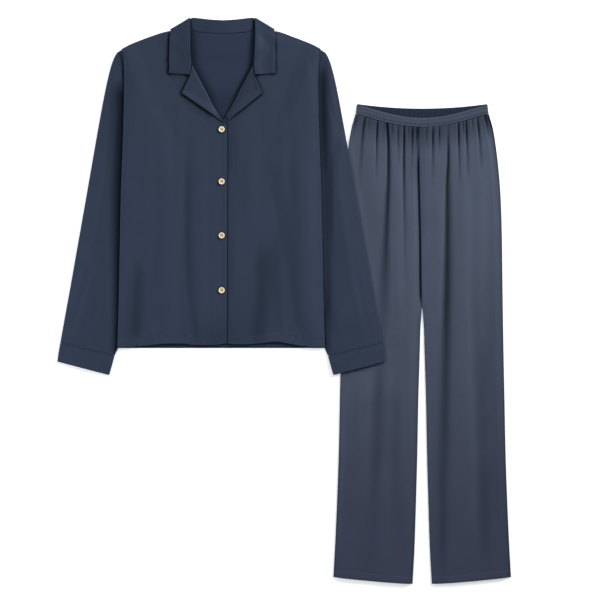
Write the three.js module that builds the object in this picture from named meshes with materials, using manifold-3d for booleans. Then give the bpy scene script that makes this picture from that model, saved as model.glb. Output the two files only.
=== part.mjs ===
// Two-piece pyjama set laid flat on a table and seen from above: a long-sleeved shirt with a
// notched camp collar and four buttons, and wide trousers gathered on an elastic waistband.
// Millimetres: +X to the viewer's right, +Y towards the collar, +Z up from the table.
// "Right" and "left" are the wearer's, so right pieces of the shirt lie at lower X.
// Shirt pieces are drawn on one half pattern: "out" is the distance from the centre line and
// "up" the height above the hem. Trousers use the same two, measured from their own centre and hem.
import * as THREE from "three";
import { mergeVertices } from "three/addons/utils/BufferGeometryUtils.js";
import Module from "manifold-3d";

const wasm = await Module();
wasm.setup();

// Driving dimensions
const clothThickness = 1.2;
const bandThickness = 1.8;
const seamGap = 0.3;
const openestGap = 3.6; // most that a front stands off the back
const cloth = clothThickness + seamGap; // height that one layer takes in the pile
const tubeGap = 0.4; // between a pressed sleeve's two layers
const tuckRise = 2 * clothThickness + tubeGap + 0.4; // the body lies this high over a tucked sleeve
const shirtPlace = { x: -125.7, y: -94.9 }; // centre of the shirt's hem
const trousersPlace = { x: 275.9, y: -566.1 }; // centre of the trousers' hems
const neckShift = 2.8; // the neck lies this far towards the wearer's left
const cuffThickness = 1.4;
const button = { radius: 6, thickness: 2.4, rim: 1.5, dish: 0.6, hole: 0.8, holeSpread: 1.5 };
const buttonHeights = [436.8, 332.6, 224.8, 115.4]; // up from the hem
const buttonOut = 1; // from the shirt's centre line
const waistHalf = 130.7;
const seamHalf = 133; // half width at the waistband's lower seam
const shoulderSlope = -31; // degrees, where the collar turns over the shoulder
const sleeveOverTrousers = 3.4; // height of the left sleeve's underside there
const sleeveCrown = 3.1; // how far a sleeve's top swells between its edges
const cuffCrown = 2.2;
const lapelReturn = 9; // facing that runs back under the front

const colours = { shirt: 0x353f50, trousers: 0x465064, button: 0xeadfc2 };

// Body side seam and armhole, from the hem to the shoulder tip
const bodySide = [
  { up: 0, out: 207.4 }, { up: 96, out: 204.6 }, { up: 296, out: 200.6 },
  { up: 446, out: 195.4 }, { up: 532, out: 193.6 }, { up: 566, out: 195.4 },
  { up: 584, out: 199.5 }, { up: 594, out: 204 },
];
// Shoulder seam, from the neck point to the shoulder tip
const shoulder = [
  { out: 0, up: 700 }, { out: 63.7, up: 657.4 }, { out: 103, up: 633.6 }, { out: 112.6, up: 632 },
  { out: 142.6, up: 622.2 }, { out: 182.6, up: 606 }, { out: 204, up: 594 },
];
// Roll line, where the lapel and the collar turn over
const rollLine = [
  { up: 452, out: 0 }, { up: 459, out: 3.2 }, { up: 487.6, out: 20.6 }, { up: 517.4, out: 35.6 },
  { up: 542.4, out: 48.8 }, { up: 565.6, out: 60.4 }, { up: 578, out: 63.8 }, { up: 656, out: 66 },
];
// Front edges below the roll line; negative is past the centre line
const frontEdges = {
  right: [
    { up: 0, out: -8.6 }, { up: 438, out: -8.6 }, { up: 451, out: -6.6 }, { up: 459, out: 3.5 },
    { up: 464, out: 8.8 }, { up: 487.6, out: 23.4 }, { up: 517.4, out: 38.4 },
    { up: 542.4, out: 52.2 }, { up: 565.6, out: 64.6 }, { up: 578, out: 67 }, { up: 656, out: 67.4 },
  ],
  left: [
    { up: 0, out: -14.2 }, { up: 428, out: -14.2 }, { up: 446, out: -9.6 }, { up: 456, out: 0.4 },
    { up: 464, out: 8.8 }, { up: 487.6, out: 23.4 }, { up: 517.4, out: 38.4 },
    { up: 542.4, out: 52.2 }, { up: 565.6, out: 64.6 }, { up: 578, out: 67 }, { up: 656, out: 67.4 },
  ],
};
// Wave of the two front hems: how far each rises above the back hem
const frontHems = {
  right: [
    { out: -9, rise: 10.4 }, { out: 17, rise: 6 }, { out: 60, rise: 6.4 }, { out: 78, rise: 9.2 },
    { out: 107, rise: 9.2 }, { out: 155, rise: 4.4 }, { out: 208, rise: 0.8 },
  ],
  left: [
    { out: -15, rise: 8.8 }, { out: 43, rise: 7.4 }, { out: 77, rise: 9.8 }, { out: 107, rise: 13 },
    { out: 139, rise: 8.2 }, { out: 163, rise: 4.2 }, { out: 208, rise: 1.2 },
  ],
};
// Soft folds down the fronts; height is above or below the cloth round them
const shirtFolds = [
  { x: -110, low: 40, high: 460, width: 24, height: 0.9 },
  { x: -68, low: 60, high: 440, width: 11, height: -0.7 },
  { x: -42, low: 30, high: 430, width: 15, height: 0.6 },
  { x: -158, low: 20, high: 180, width: 16, height: -0.5 },
  { x: 60, low: 250, high: 420, width: 20, height: 0.4 },
  { x: 92, low: 20, high: 240, width: 30, height: -0.5 },
  { x: 160, low: 30, high: 420, width: 22, height: 0.8 },
];
// Sleeve sections from the cuff seam to the armhole; the inner edge is tucked under the body
const sleeveSections = [
  { outerOut: 322, outerUp: 10, innerOut: 213.4, innerUp: -16 },
  { outerOut: 318, outerUp: 32, innerOut: 208.6, innerUp: 6 },
  { outerOut: 313, outerUp: 60, innerOut: 202, innerUp: 34 },
  { outerOut: 302.8, outerUp: 116, innerOut: 190, innerUp: 88 },
  { outerOut: 292.2, outerUp: 176, innerOut: 178, innerUp: 146 },
  { outerOut: 281.6, outerUp: 236, innerOut: 166, innerUp: 204 },
  { outerOut: 271, outerUp: 296, innerOut: 155, innerUp: 260 },
  { outerOut: 261.6, outerUp: 350, innerOut: 146, innerUp: 308 },
  { outerOut: 253.6, outerUp: 396, innerOut: 139, innerUp: 346 },
  { outerOut: 246.6, outerUp: 436, innerOut: 134, innerUp: 372 },
  { outerOut: 231.6, outerUp: 516, innerOut: 135, innerUp: 402 },
  { outerOut: 222.4, outerUp: 556, innerOut: 137, innerUp: 412 },
  { outerOut: 214.6, outerUp: 579, innerOut: 139, innerUp: 420 },
  { outerOut: 204.6, outerUp: 594, innerOut: 141, innerUp: 428 },
];
const cuffSections = [
  { outerOut: 322, outerUp: 9.7, innerOut: 213.4, innerUp: -16.3 },
  { outerOut: 324.6, outerUp: -5, innerOut: 216.8, innerUp: -29 },
  { outerOut: 326.4, outerUp: -16, innerOut: 220.4, innerUp: -42 },
  { outerOut: 327.6, outerUp: -27.2, innerOut: 224, innerUp: -54.2 },
];
const sleeveColumns = [0, 0.04, 0.12, 0.24, 0.38, 0.52, 0.66, 0.8, 0.92, 1]; // outer to inner edge
const tuckInner = [
  { up: -60, out: 220 }, { up: -16, out: 211.4 }, { up: 88, out: 188 }, { up: 204, out: 164 },
  { up: 308, out: 144 }, { up: 372, out: 132 }, { up: 428, out: 138 }, { up: 470, out: 155 },
  { up: 510, out: 170 }, { up: 550, out: 185.5 }, { up: 594, out: 202 },
];
// Stations of one half of the collar, from its front end to the centre back. "out" and "up" place
// the roll, "turn" is the direction of the fall in degrees (0 outwards, -90 towards the hem),
// "tilt" is how far the strip has rolled over the shoulder (0 on the front, 180 on the back).
const collarStations = [
  { out: 65.2, up: 545.8, turn: 4, tilt: 0, fall: 41.6, stand: 0.8 },
  { out: 62.4, up: 565, turn: -3, tilt: 0, fall: 43.5, stand: 0.8 },
  { out: 63.8, up: 584, turn: -9, tilt: 0, fall: 43, stand: 0.8 },
  { out: 64.6, up: 606, turn: -15, tilt: 0, fall: 42.6, stand: 0.8 },
  { out: 65.2, up: 628, turn: -21, tilt: 0, fall: 43, stand: 0.8 },
  { out: 64.8, up: 645, turn: -26, tilt: 0, fall: 44.6, stand: 0.8 },
  { out: 63.9, up: 656, turn: -30, tilt: 0, fall: 46, stand: 0.8 },
  { out: 63.7, up: 658.3, turn: -31, tilt: 45, fall: 46, stand: 0.8 },
  { out: 63.7, up: 658.3, turn: -31, tilt: 90, fall: 46, stand: 0.8 },
  { out: 63.7, up: 658.3, turn: -31, tilt: 135, fall: 46, stand: 0.8 },
  { out: 63.2, up: 657.8, turn: -33, tilt: 180, fall: 46, stand: 1.6 },
  { out: 61.5, up: 658.6, turn: -58, tilt: 180, fall: 46, stand: 5 },
  { out: 59.5, up: 658.9, turn: -74, tilt: 180, fall: 46, stand: 13 },
  { out: 56, up: 658.9, turn: -82, tilt: 180, fall: 46, stand: 21 },
  { out: 47, up: 658.6, turn: -87, tilt: 180, fall: 46, stand: 25.4 },
  { out: 24, up: 656.6, turn: -90, tilt: 180, fall: 46, stand: 25.6 },
  { out: 0, up: 655.4, turn: -90, tilt: 180, fall: 46, stand: 25.6 },
];
// Free edge of each lapel, from the notch past the tip to the end of the roll
const lapelShapes = {
  right: [
    { roll: 564.4, out: 64.1, up: 543.6 }, { roll: 546, out: 73, up: 526 },
    { roll: 528, out: 81.4, up: 509 }, { roll: 512, out: 60, up: 494 },
    { roll: 496, out: 39, up: 479.5 }, { roll: 480, out: 19, up: 466 }, { roll: 463, out: 1.5, up: 453 },
  ],
  left: [
    { roll: 564.4, out: 64.2, up: 543.6 }, { roll: 546, out: 72.4, up: 526 },
    { roll: 528, out: 79.6, up: 509.4 }, { roll: 512, out: 62, up: 495 },
    { roll: 496, out: 45, up: 481 }, { roll: 480, out: 28, up: 468 }, { roll: 465, out: 12.5, up: 456 },
  ],
};
// Outer side seam and half of the space between the legs, up from the hem
const legSide = [
  { up: 0, out: 177.4 }, { up: 67, out: 174.4 }, { up: 167, out: 170 }, { up: 267, out: 166.6 },
  { up: 367, out: 164.6 }, { up: 467, out: 162.6 }, { up: 587, out: 160.8 }, { up: 687, out: 159.6 },
  { up: 747, out: 158 }, { up: 787, out: 156 }, { up: 827, out: 152.8 }, { up: 867, out: 148.2 },
  { up: 907, out: 142 }, { up: 940, out: 133 },
];
const legInner = [
  { up: 0, out: 19.2 }, { up: 67, out: 15.5 }, { up: 167, out: 12.2 }, { up: 267, out: 9.5 },
  { up: 367, out: 7.6 }, { up: 467, out: 4.6 }, { up: 507, out: 3.5 }, { up: 547, out: 0.9 },
  { up: 556, out: 0.15 }, { up: 940, out: 0.15 },
];
// Gathers below the waistband: place from the centre at the seam, reach downwards, depth, and
// drift outwards by the end, for the folds that run on to the hem
const gathers = {
  right: [
    { at: 14.2, reach: 34, depth: 1.1, drift: 0 }, { at: 24.2, reach: 40, depth: 1.1, drift: 0 },
    { at: 35.2, reach: 150, depth: 1.5, drift: 0 }, { at: 49.8, reach: 52, depth: 1.3, drift: 0 },
    { at: 67.8, reach: 940, depth: 2.2, drift: 10 }, { at: 84, reach: 90, depth: 1.5, drift: 0 },
    { at: 92, reach: 60, depth: 1.2, drift: 0 }, { at: 99.6, reach: 34, depth: 1, drift: 0 },
    { at: 108.6, reach: 72, depth: 1.4, drift: 0 }, { at: 116, reach: 66, depth: 1.2, drift: 0 },
    { at: 125, reach: 52, depth: 1.2, drift: 0 },
  ],
  left: [
    { at: 7.6, reach: 56, depth: 1.2, drift: 0 }, { at: 22.8, reach: 110, depth: 1.5, drift: 0 },
    { at: 37.8, reach: 42, depth: 1.1, drift: 0 }, { at: 50.8, reach: 940, depth: 2.2, drift: -6 },
    { at: 62.4, reach: 62, depth: 1.2, drift: 0 }, { at: 73.8, reach: 62, depth: 1.3, drift: 0 },
    { at: 89.2, reach: 90, depth: 1.4, drift: 0 }, { at: 100.6, reach: 118, depth: 1.5, drift: 0 },
    { at: 111.8, reach: 52, depth: 1.1, drift: 0 }, { at: 124.8, reach: 60, depth: 1.2, drift: 0 },
  ],
};
const legTop = 938.3; // legs' top at the side seams
const legRows = [0, 70, 150, 240, 330, 400, 455, 515, 560, 630, 700, 758, 806, 845, 875, 900, 918,
  930, legTop];

const clamp = (t) => Math.min(1, Math.max(0, t));
const smooth = (t) => clamp(t) ** 2 * (3 - 2 * clamp(t));
const mix = (a, b, t) => a + (b - a) * t;
const bell = (t) => Math.exp(-t * t);

// A smooth curve through a table's rows that never swings past them.
function curve(rows, key, value) {
  const step = rows.slice(1).map((row, i) => (row[value] - rows[i][value]) / (row[key] - rows[i][key]));
  const slope = rows.map((row, i) => {
    if (i === 0) return step[0];
    if (i === rows.length - 1) return step[i - 1];
    const product = step[i - 1] * step[i];
    return product > 0 ? (2 * product) / (step[i - 1] + step[i]) : 0;
  });
  return (at) => {
    let i = 0;
    while (i < rows.length - 2 && at > rows[i + 1][key]) i += 1;
    const span = rows[i + 1][key] - rows[i][key];
    const t = (at - rows[i][key]) / span;
    if (t < 0) return rows[i][value];
    if (t > 1) return rows[i + 1][value];
    return (
      rows[i][value] * (1 + 2 * t) * (1 - t) ** 2 + slope[i] * span * t * (1 - t) ** 2 +
      rows[i + 1][value] * t * t * (3 - 2 * t) + slope[i + 1] * span * t * t * (t - 1)
    );
  };
}

// A closed wall between two grids of points, rows by columns. In a ring the columns go all the
// way round, so only the first and last rows are closed.
function wall(outer, inner, ring = false) {
  const rows = outer.length;
  const columns = outer[0].length;
  const points = [...outer.flat(), ...inner.flat()];
  const faces = [];
  const out = (i, j) => i * columns + (j % columns);
  const within = (i, j) => rows * columns + out(i, j);
  const quad = (a, b, c, d) => faces.push(a, b, c, a, c, d);
  const last = ring ? columns : columns - 1;
  for (let i = 0; i < rows - 1; i += 1)
    for (let j = 0; j < last; j += 1) {
      quad(out(i, j), out(i, j + 1), out(i + 1, j + 1), out(i + 1, j));
      quad(within(i, j), within(i + 1, j), within(i + 1, j + 1), within(i, j + 1));
    }
  for (let j = 0; j < last; j += 1) {
    quad(out(0, j + 1), out(0, j), within(0, j), within(0, j + 1));
    quad(out(rows - 1, j), out(rows - 1, j + 1), within(rows - 1, j + 1), within(rows - 1, j));
  }
  for (let i = 0; !ring && i < rows - 1; i += 1) {
    quad(out(i, 0), out(i + 1, 0), within(i + 1, 0), within(i, 0));
    quad(out(i + 1, last), out(i, last), within(i, last), within(i + 1, last));
  }
  return solidOf(points, faces);
}

// Geometry from points and faces, with the faces turned outwards.
function solidOf(points, faces) {
  const cross = new THREE.Vector3();
  let volume = 0;
  for (let i = 0; i < faces.length; i += 3) {
    cross.crossVectors(points[faces[i + 1]], points[faces[i + 2]]);
    volume += points[faces[i]].dot(cross);
  }
  if (volume < 0)
    for (let i = 0; i < faces.length; i += 3)
      [faces[i + 1], faces[i + 2]] = [faces[i + 2], faces[i + 1]];
  return new THREE.BufferGeometry().setFromPoints(points).setIndex(faces);
}

const grid = (rows, columns, point) => rows.map((row) => columns.map((column) => point(column, row)));
const evenly = (count, from = 0, to = 1) =>
  Array.from({ length: count + 1 }, (_, i) => from + ((to - from) * i) / count);

function piece(name, geometry, colour, roughness) {
  const mesh = new THREE.Mesh(
    geometry,
    new THREE.MeshStandardMaterial({ color: colour, roughness, metalness: 0 }),
  );
  mesh.name = name;
  return mesh;
}

const sideOut = curve(bodySide, "up", "out");
const shoulderUp = curve(shoulder, "out", "up");
const rollOut = curve(rollLine, "up", "out");
const tuckOut = curve(tuckInner, "up", "out");
const frontEdgeOut = {
  right: curve(frontEdges.right, "up", "out"),
  left: curve(frontEdges.left, "up", "out"),
};
const legOut = curve(legSide, "up", "out");
const legIn = curve(legInner, "up", "out");
const shoulderTip = bodySide.at(-1);
const frontTopUp = 655.6; // where a front's edge meets the neck point
const sides = { right: -1, left: 1 };

// X of a point of the half pattern, with the neck's shift worked in near the centre.
const across = (side, out) => sides[side] * out + neckShift * smooth((150 - out) / 60);

// Shirt: heights of the layers

// Underside of the back: on the table, but raised over the tucked sleeves and over the collar's
// fall, whose lower edge runs up from 609 at the centre to the shoulder seam.
function backUnder(out, up) {
  const overSleeve = tuckRise * smooth((out - tuckOut(up) + 46) / 40);
  const fallEdge = 609 + 26 * (Math.min(out, 101) / 101) ** 4;
  const overFall = cloth * smooth((up - fallEdge + 42) / 26) * smooth((130 - out) / 24);
  return Math.max(overSleeve, overFall);
}

// How far the fronts stand off the back, without their overlap: most beside the V of the neck,
// which the collar holds up, less over the folds, and next to nothing at the seams.
function skin(x, out, up) {
  const belowShoulder = shoulderUp(Math.max(out, 64)) - up;
  const neck = 2.7 * smooth(belowShoulder / 55) * (1 - smooth((out - rollOut(up)) / 95)) *
    smooth((up - 425) / 62);
  const folds = shirtFolds
    .map((fold) => fold.height * bell((x - fold.x) / fold.width) *
      smooth((up - fold.low) / 60) * smooth((fold.high - up) / 90))
    .reduce((sum, height) => sum + height, 0);
  const edge = smooth((sideOut(up) - out) / 16) * smooth(belowShoulder / 16);
  return Math.max(neck, (0.8 + folds) * edge * smooth((out - 10) / 30) + 0.3 * edge);
}

function frontUnder(side, out, up) {
  const x = across(side, out);
  const overlap = side === "right" ? 1.6 * smooth((x + 30) / 15) * (1 - smooth((up - 463) / 26)) : 0;
  const gap = Math.min(openestGap, skin(x, out, up) + overlap);
  return backUnder(out, up) + cloth + gap;
}
const frontTop = (side, out, up) => frontUnder(side, out, up) + clothThickness;

// Half-pattern point of a front: u from the side seam to the front edge, v from hem to shoulder.
function frontPattern(side, u, v) {
  const edge = frontEdgeOut[side];
  const sideUp = v * shoulderTip.up;
  const edgeUp = v * frontTopUp;
  const hem = curve(frontHems[side], "out", "rise");
  let out = mix(sideOut(sideUp), edge(edgeUp), u);
  let up = mix(sideUp, edgeUp, u);
  const top = smooth((v - 0.8) / 0.2);
  up = mix(up, shoulderUp(out), top * top);
  return { out, up: Math.max(up, mix(hem(out), up, smooth(v / 0.12))) };
}
const frontLevels = [0, 28, 75, 130, 190, 250, 310, 365, 408, 438, 448, 455, 461, 470, 488, 510,
  530, 549, 566, 584, 604, 624, 642, frontTopUp].map((up) => up / frontTopUp);
const frontColumns = [0, 0.06, 0.14, 0.23, 0.33, 0.43, 0.53, 0.62, 0.7, 0.78, 0.85, 0.91, 0.96, 1];

function frontPanel(side) {
  const layer = (height) => (u, v) => {
    const { out, up } = frontPattern(side, u, v);
    return new THREE.Vector3(across(side, out), up, frontUnder(side, out, up) + height);
  };
  return wall(grid(frontLevels, frontColumns, layer(clothThickness)),
    grid(frontLevels, frontColumns, layer(0)));
}

function backPanel() {
  const stand = collarStations.filter((station) => station.tilt === 180)
    .map((station) => standEdge(station)).reverse();
  const neckUp = curve([...stand, { out: 66.6, up: 700 }], "out", "up");
  const columns = [0, 20, 38, 49, 56, 60, 62.5, 64, 65.2, 66.6, 68.4, 86, 104, 120, 134, 148, 162,
    176, 190, shoulderTip.out];
  const levels = [0, 100, 200, 290, 365, 420, 463, 500, 530, 553, 572, shoulderTip.up];
  const layer = (height) => (column, level) => {
    const share = Math.abs(column) / shoulderTip.out;
    const out = sideOut(level) * share;
    const top = Math.min(neckUp(out - 1.2) - 0.4, shoulderUp(out));
    const up = (level / shoulderTip.up) * mix(top, shoulderTip.up, share ** 24);
    const side = column < 0 ? "right" : "left";
    return new THREE.Vector3(across(side, out), up, backUnder(out, up) + height);
  };
  const mirrored = [...columns.slice(1).reverse().map((out) => -out), ...columns];
  return wall(grid(levels, mirrored, layer(clothThickness)), grid(levels, mirrored, layer(0)));
}

// Collar

const foldRadius = cloth / 2; // middle of the cloth, where it turns over
const foldInset = foldRadius + clothThickness / 2;
const shoulderTop = 2 * cloth + clothThickness; // top of the front at the shoulder, over the fall

function heading(turn) {
  const angle = THREE.MathUtils.degToRad(turn);
  return { out: Math.cos(angle), up: Math.sin(angle) };
}

// Neck seam of a collar station, on the half pattern.
function standEdge({ out, up, turn, stand }) {
  const to = heading(turn);
  const reach = foldInset + stand;
  return { out: Math.max(0, out + to.out * reach), up: up + to.up * reach };
}

// Cross-section of the collar: stand, fold and fall. Each point has its place along the heading
// and its distance from the pile's middle, for the wall's outer and inner side.
function collarSection(station, side) {
  const to = heading(station.turn);
  const tilt = THREE.MathUtils.degToRad(station.tilt);
  const low = cloth; // the stand's middle, from the middle of the pile
  const half = clothThickness / 2;
  const pileMiddle = cloth + low + half; // fall, stand and back lie below it, the front above
  const outwards = heading(shoulderSlope + 90);
  const onFront = station.tilt === 0;
  const settle = onFront ? smooth((656 - station.up) / 34) : 0;
  const at = (reach, offset) => {
    const out = station.out + to.out * reach;
    const up = station.up + to.up * reach;
    const rise = onFront
      ? frontTop(side, Math.max(out, 62), Math.min(up, 657)) - shoulderTop + seamGap * settle
      : 0;
    const drop = cloth * settle * smooth((reach - 5) / 14) * (offset > low + half + 0.1 ? 1 : 0);
    const lift = onFront ? 0.7 * smooth((reach - 26) / 16) * settle : 0;
    const roll = offset * Math.sin(tilt);
    return new THREE.Vector3(
      across(side, Math.max(0, out + roll * outwards.out)), up + roll * outwards.up,
      pileMiddle + offset * Math.cos(tilt) + rise - drop + lift,
    );
  };
  const fold = [-60, 0, 60].map(THREE.MathUtils.degToRad);
  const line = (offsetStand, offsetFall, radius) => [
    ...[1, 0.5, 0].map((t) => at(foldInset + station.stand * t, offsetStand)),
    ...fold.map((angle) => at(foldInset - radius * Math.cos(angle),
      low + foldRadius + radius * Math.sin(angle))),
    ...[0, 0.12, 0.32, 0.66, 1].map((t) => at(mix(foldInset, station.fall, t), offsetFall)),
  ];
  return {
    outer: line(low - half, low + cloth + half, foldRadius + half),
    inner: line(low + half, low + cloth - half, foldRadius - half),
  };
}

function collar() {
  const right = collarStations.map((station) => collarSection(station, "right"));
  const left = collarStations.slice(0, -1).reverse().map((station) => collarSection(station, "left"));
  const stations = [...right, ...left];
  return wall(stations.map((section) => section.outer), stations.map((section) => section.inner));
}

// Lapel: lies on its front, turns over the front's edge and runs back beneath it.
function lapel(side) {
  const shape = lapelShapes[side];
  const tipOut = curve([...shape].reverse(), "roll", "out");
  const tipUp = curve([...shape].reverse(), "roll", "up");
  const half = clothThickness / 2;
  const radius = cloth;
  const [first, end] = [shape[0].roll, shape.at(-1).roll];
  const rolls = [first, 555, 546, 537, 528, 518, 504, 490, 476, end];
  const sections = rolls.map((roll) => {
    const start = new THREE.Vector2(rollOut(roll), roll);
    const tip = new THREE.Vector2(tipOut(roll), tipUp(roll));
    const length = tip.distanceTo(start);
    const to = tip.sub(start).normalize();
    const back = mix(2, lapelReturn, smooth((roll - end) / 30) * smooth((first + 8 - roll) / 24));
    const inset = radius + half;
    const at = (reach, offset) => {
      const out = start.x + to.x * reach;
      const up = start.y + to.y * reach;
      const middle = frontUnder(side, out, up) + half;
      const lift = 0.8 * smooth((reach - length + 16) / 16) * smooth((roll - end) / 26);
      return new THREE.Vector3(across(side, out), up, middle + offset + (offset > 0 ? lift : 0));
    };
    const line = (under, over, turn) => [
      ...[1, 0].map((t) => at(inset + back * t, under)),
      ...[-60, 0, 60].map(THREE.MathUtils.degToRad)
        .map((angle) => at(inset - turn * Math.cos(angle), turn * Math.sin(angle))),
      ...[0, 0.2, 0.45, 0.72, 1].map((t) => at(mix(inset, length, t), over)),
    ];
    return {
      outer: line(-radius - half, radius + half, radius + half),
      inner: line(-radius + half, radius - half, radius - half),
    };
  });
  return wall(sections.map((section) => section.outer), sections.map((section) => section.inner));
}

// Sleeves and cuffs

// Height of the left sleeve's underside: on the table, then up over the trousers' side.
function sleeveUnder(side, x, up) {
  if (side === "right") return 0;
  const upTrousers = up + shirtPlace.y - trousersPlace.y;
  const trousersEdge = trousersPlace.x - shirtPlace.x - legOut(upTrousers);
  return sleeveOverTrousers * smooth((x - trousersEdge + 34) / 22) * smooth((440 - up) / 35);
}

// One flattened ring between an outer and an inner edge point.
function flatRing(side, section, thickness, crown) {
  const place = (q, height) => {
    const out = mix(section.outerOut, section.innerOut, q);
    const up = mix(section.outerUp, section.innerUp, q);
    const x = across(side, out);
    const free = Math.max(smooth((out - sideOut(up) - 8) / 24), smooth((-14 - up) / 16));
    const width = Math.hypot(section.outerOut - section.innerOut, section.outerUp - section.innerUp);
    const nearest = Math.min(q, 1 - q) * width;
    const rise = crown * free * (1 - (1 - clamp(nearest / 20)) ** 2);
    return new THREE.Vector3(x, up, sleeveUnder(side, x, up) + height(rise));
  };
  const loop = (inset, low, high) => {
    const q = (t) => mix(inset, 1 - inset, t);
    return [
      place(q(0), () => (low + high) / 2),
      ...sleeveColumns.map((t) => place(q(mix(0.008, 0.992, t)), () => low)),
      place(q(1), () => (low + high) / 2),
      ...[...sleeveColumns].reverse().map((t) => place(q(mix(0.008, 0.992, t)), (rise) => high + rise)),
    ];
  };
  const inside = (thickness + 0.1) / 110;
  return {
    outer: loop(0, 0, 2 * thickness + tubeGap),
    inner: loop(inside, thickness, thickness + tubeGap),
  };
}

function tube(side, sections, thickness, crown) {
  const rings = sections.map((section, i) =>
    flatRing(side, section, thickness, crown * mix(0.8, 1, clamp(i / 3))));
  return wall(rings.map((ring) => ring.outer), rings.map((ring) => ring.inner), true);
}

// Button: a turned disc with a rim round a dished middle and four thread holes.
function buttonGeometry() {
  const { radius, thickness, rim, dish, hole, holeSpread } = button;
  const profile = [
    [0, 0], [radius - 0.6, 0], [radius, thickness / 2], [radius - 0.6, thickness],
    [radius - rim, thickness - dish], [0, thickness - dish],
  ].map(([x, y]) => new THREE.Vector2(x, y));
  const disc = new THREE.LatheGeometry(profile, 16).rotateX(Math.PI / 2);
  let solid = solidify(disc);
  for (const [x, y] of [[1, 1], [1, -1], [-1, 1], [-1, -1]]) {
    const drill = new THREE.CylinderGeometry(hole, hole, 3 * thickness, 6).rotateX(Math.PI / 2);
    solid = solid.subtract(solidify(drill.translate(x * holeSpread, y * holeSpread, 0)));
  }
  const { vertProperties, triVerts } = solid.getMesh();
  return new THREE.BufferGeometry()
    .setAttribute("position", new THREE.BufferAttribute(vertProperties, 3))
    .setIndex(new THREE.BufferAttribute(triVerts, 1));
}

function solidify(geometry) {
  geometry.deleteAttribute("normal");
  geometry.deleteAttribute("uv");
  const merged = mergeVertices(geometry, 1e-4);
  const made = new wasm.Manifold(new wasm.Mesh({
    numProp: 3,
    vertProperties: merged.attributes.position.array,
    triVerts: new Uint32Array(merged.index.array),
  }));
  return made;
}

// Highest point of the right front under a button.
function buttonSeat(up) {
  const outs = [-4, 0, 4].map((shift) => neckShift - buttonOut + shift);
  const heights = outs.flatMap((out) => [-7, 0, 7].map((step) => frontTop("right", out, up + step)));
  return Math.max(...heights) + seamGap;
}

// Trousers

const seamUp = (out) => 938.6 - 25.6 * (1 - Math.min(1, out / seamHalf) ** 2) ** 1.2;
const bandTopUp = (out) => 956 - 24.6 * (1 - Math.min(1, out / waistHalf) ** 2) ** 1.4;
const backTopUp = (out) => 959 - 9 * (1 - Math.min(1, out / waistHalf) ** 2);
const backSeamUp = (out) => backTopUp(out) - 20;
const hemUp = (out) => 13.4 * clamp((out - 20) / 157) ** 1.35;

// 1 where the sleeve presses on the right leg, 0 elsewhere. The sleeve's edge and the cuff's end
// are straight lines in the trousers' own coordinates.
function pressed(side, out, up) {
  if (side === "left") return 0;
  const sleeveEdge = -154.4 + (907 - up) * 0.1744;
  const cuffEnd = 444 - (-73.6 + out) * 0.257;
  return smooth((sleeveEdge + 20 + out) / 14) * smooth((up - cuffEnd + 80) / 45);
}

// How far a leg's front stands off its back, at a place from the inner edge to the side seam.
function legPuff(side, share, out, up) {
  const below = seamUp(out) - up;
  const puff = mix(1.6, 2.7, smooth(1 - below / 260)) - 0.3 * smooth((below - 600) / 300);
  const edge = smooth((out - legIn(up)) / 13) * smooth((legOut(up) - out) / 18);
  const valleys = gathers[side].map(({ at, reach, depth, drift }) => {
    const long = reach > 900;
    const centre = (at + drift * smooth((below - 200) / 500)) / seamHalf;
    const width = 2.6 + Math.min(below, long ? 320 : reach) * (long ? 0.022 : 0.03);
    const fade = long ? mix(1, 0.45, smooth((below - 300) / 500)) : smooth(1.15 - below / reach);
    return depth * fade * bell(((share - centre) * legOut(up)) / width);
  });
  const depth = valleys.reduce((sum, valley) => sum + valley, 0);
  return mix(Math.max(0.1, (puff - depth) * edge + 0.1), 0.15, pressed(side, out, up));
}

// Columns on each valley and ridge of the gathers, so the folds stay whole down the leg.
function legColumns(side) {
  const valleys = gathers[side].map(({ at }) => at / seamHalf);
  const stops = [0, ...valleys, 1];
  const columns = [0];
  for (let i = 1; i < stops.length; i += 1)
    columns.push((stops[i - 1] + stops[i]) / 2, stops[i]);
  const long = gathers[side].find(({ reach }) => reach > 900);
  const flank = 6 / seamHalf;
  return [...columns, long.at / seamHalf - flank, long.at / seamHalf + flank, 0.02, 0.98]
    .sort((a, b) => a - b)
    .filter((share, i, all) => i === 0 || share - all[i - 1] > 0.008);
}

function legPoint(side, share, level, topUp) {
  const x = mix(legIn(level), legOut(level), share);
  const waist = topUp(x) - seamGap - legTop;
  const up = level + waist * smooth(1 - (legTop - level) / 160) + hemUp(x) * smooth(1 - level / 90);
  return { out: x, up };
}

function legFront(side) {
  const columns = legColumns(side);
  const layer = (height) => (share, level) => {
    const { out, up } = legPoint(side, share, level, seamUp);
    const z = cloth + legPuff(side, share, out, up) + height;
    return new THREE.Vector3(sides[side] * out, up, z);
  };
  return wall(grid(legRows, columns, layer(clothThickness)), grid(legRows, columns, layer(0)));
}

function legBack(side) {
  const levels = legRows.filter((_, i) => i % 2 === 0);
  const columns = [0, 0.1, 0.3, 0.5, 0.7, 0.9, 1];
  const layer = (height) => (share, level) => {
    const { out, up } = legPoint(side, share, level, backSeamUp);
    return new THREE.Vector3(sides[side] * out, up, height);
  };
  return wall(grid(levels, columns, layer(clothThickness)), grid(levels, columns, layer(0)));
}

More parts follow.
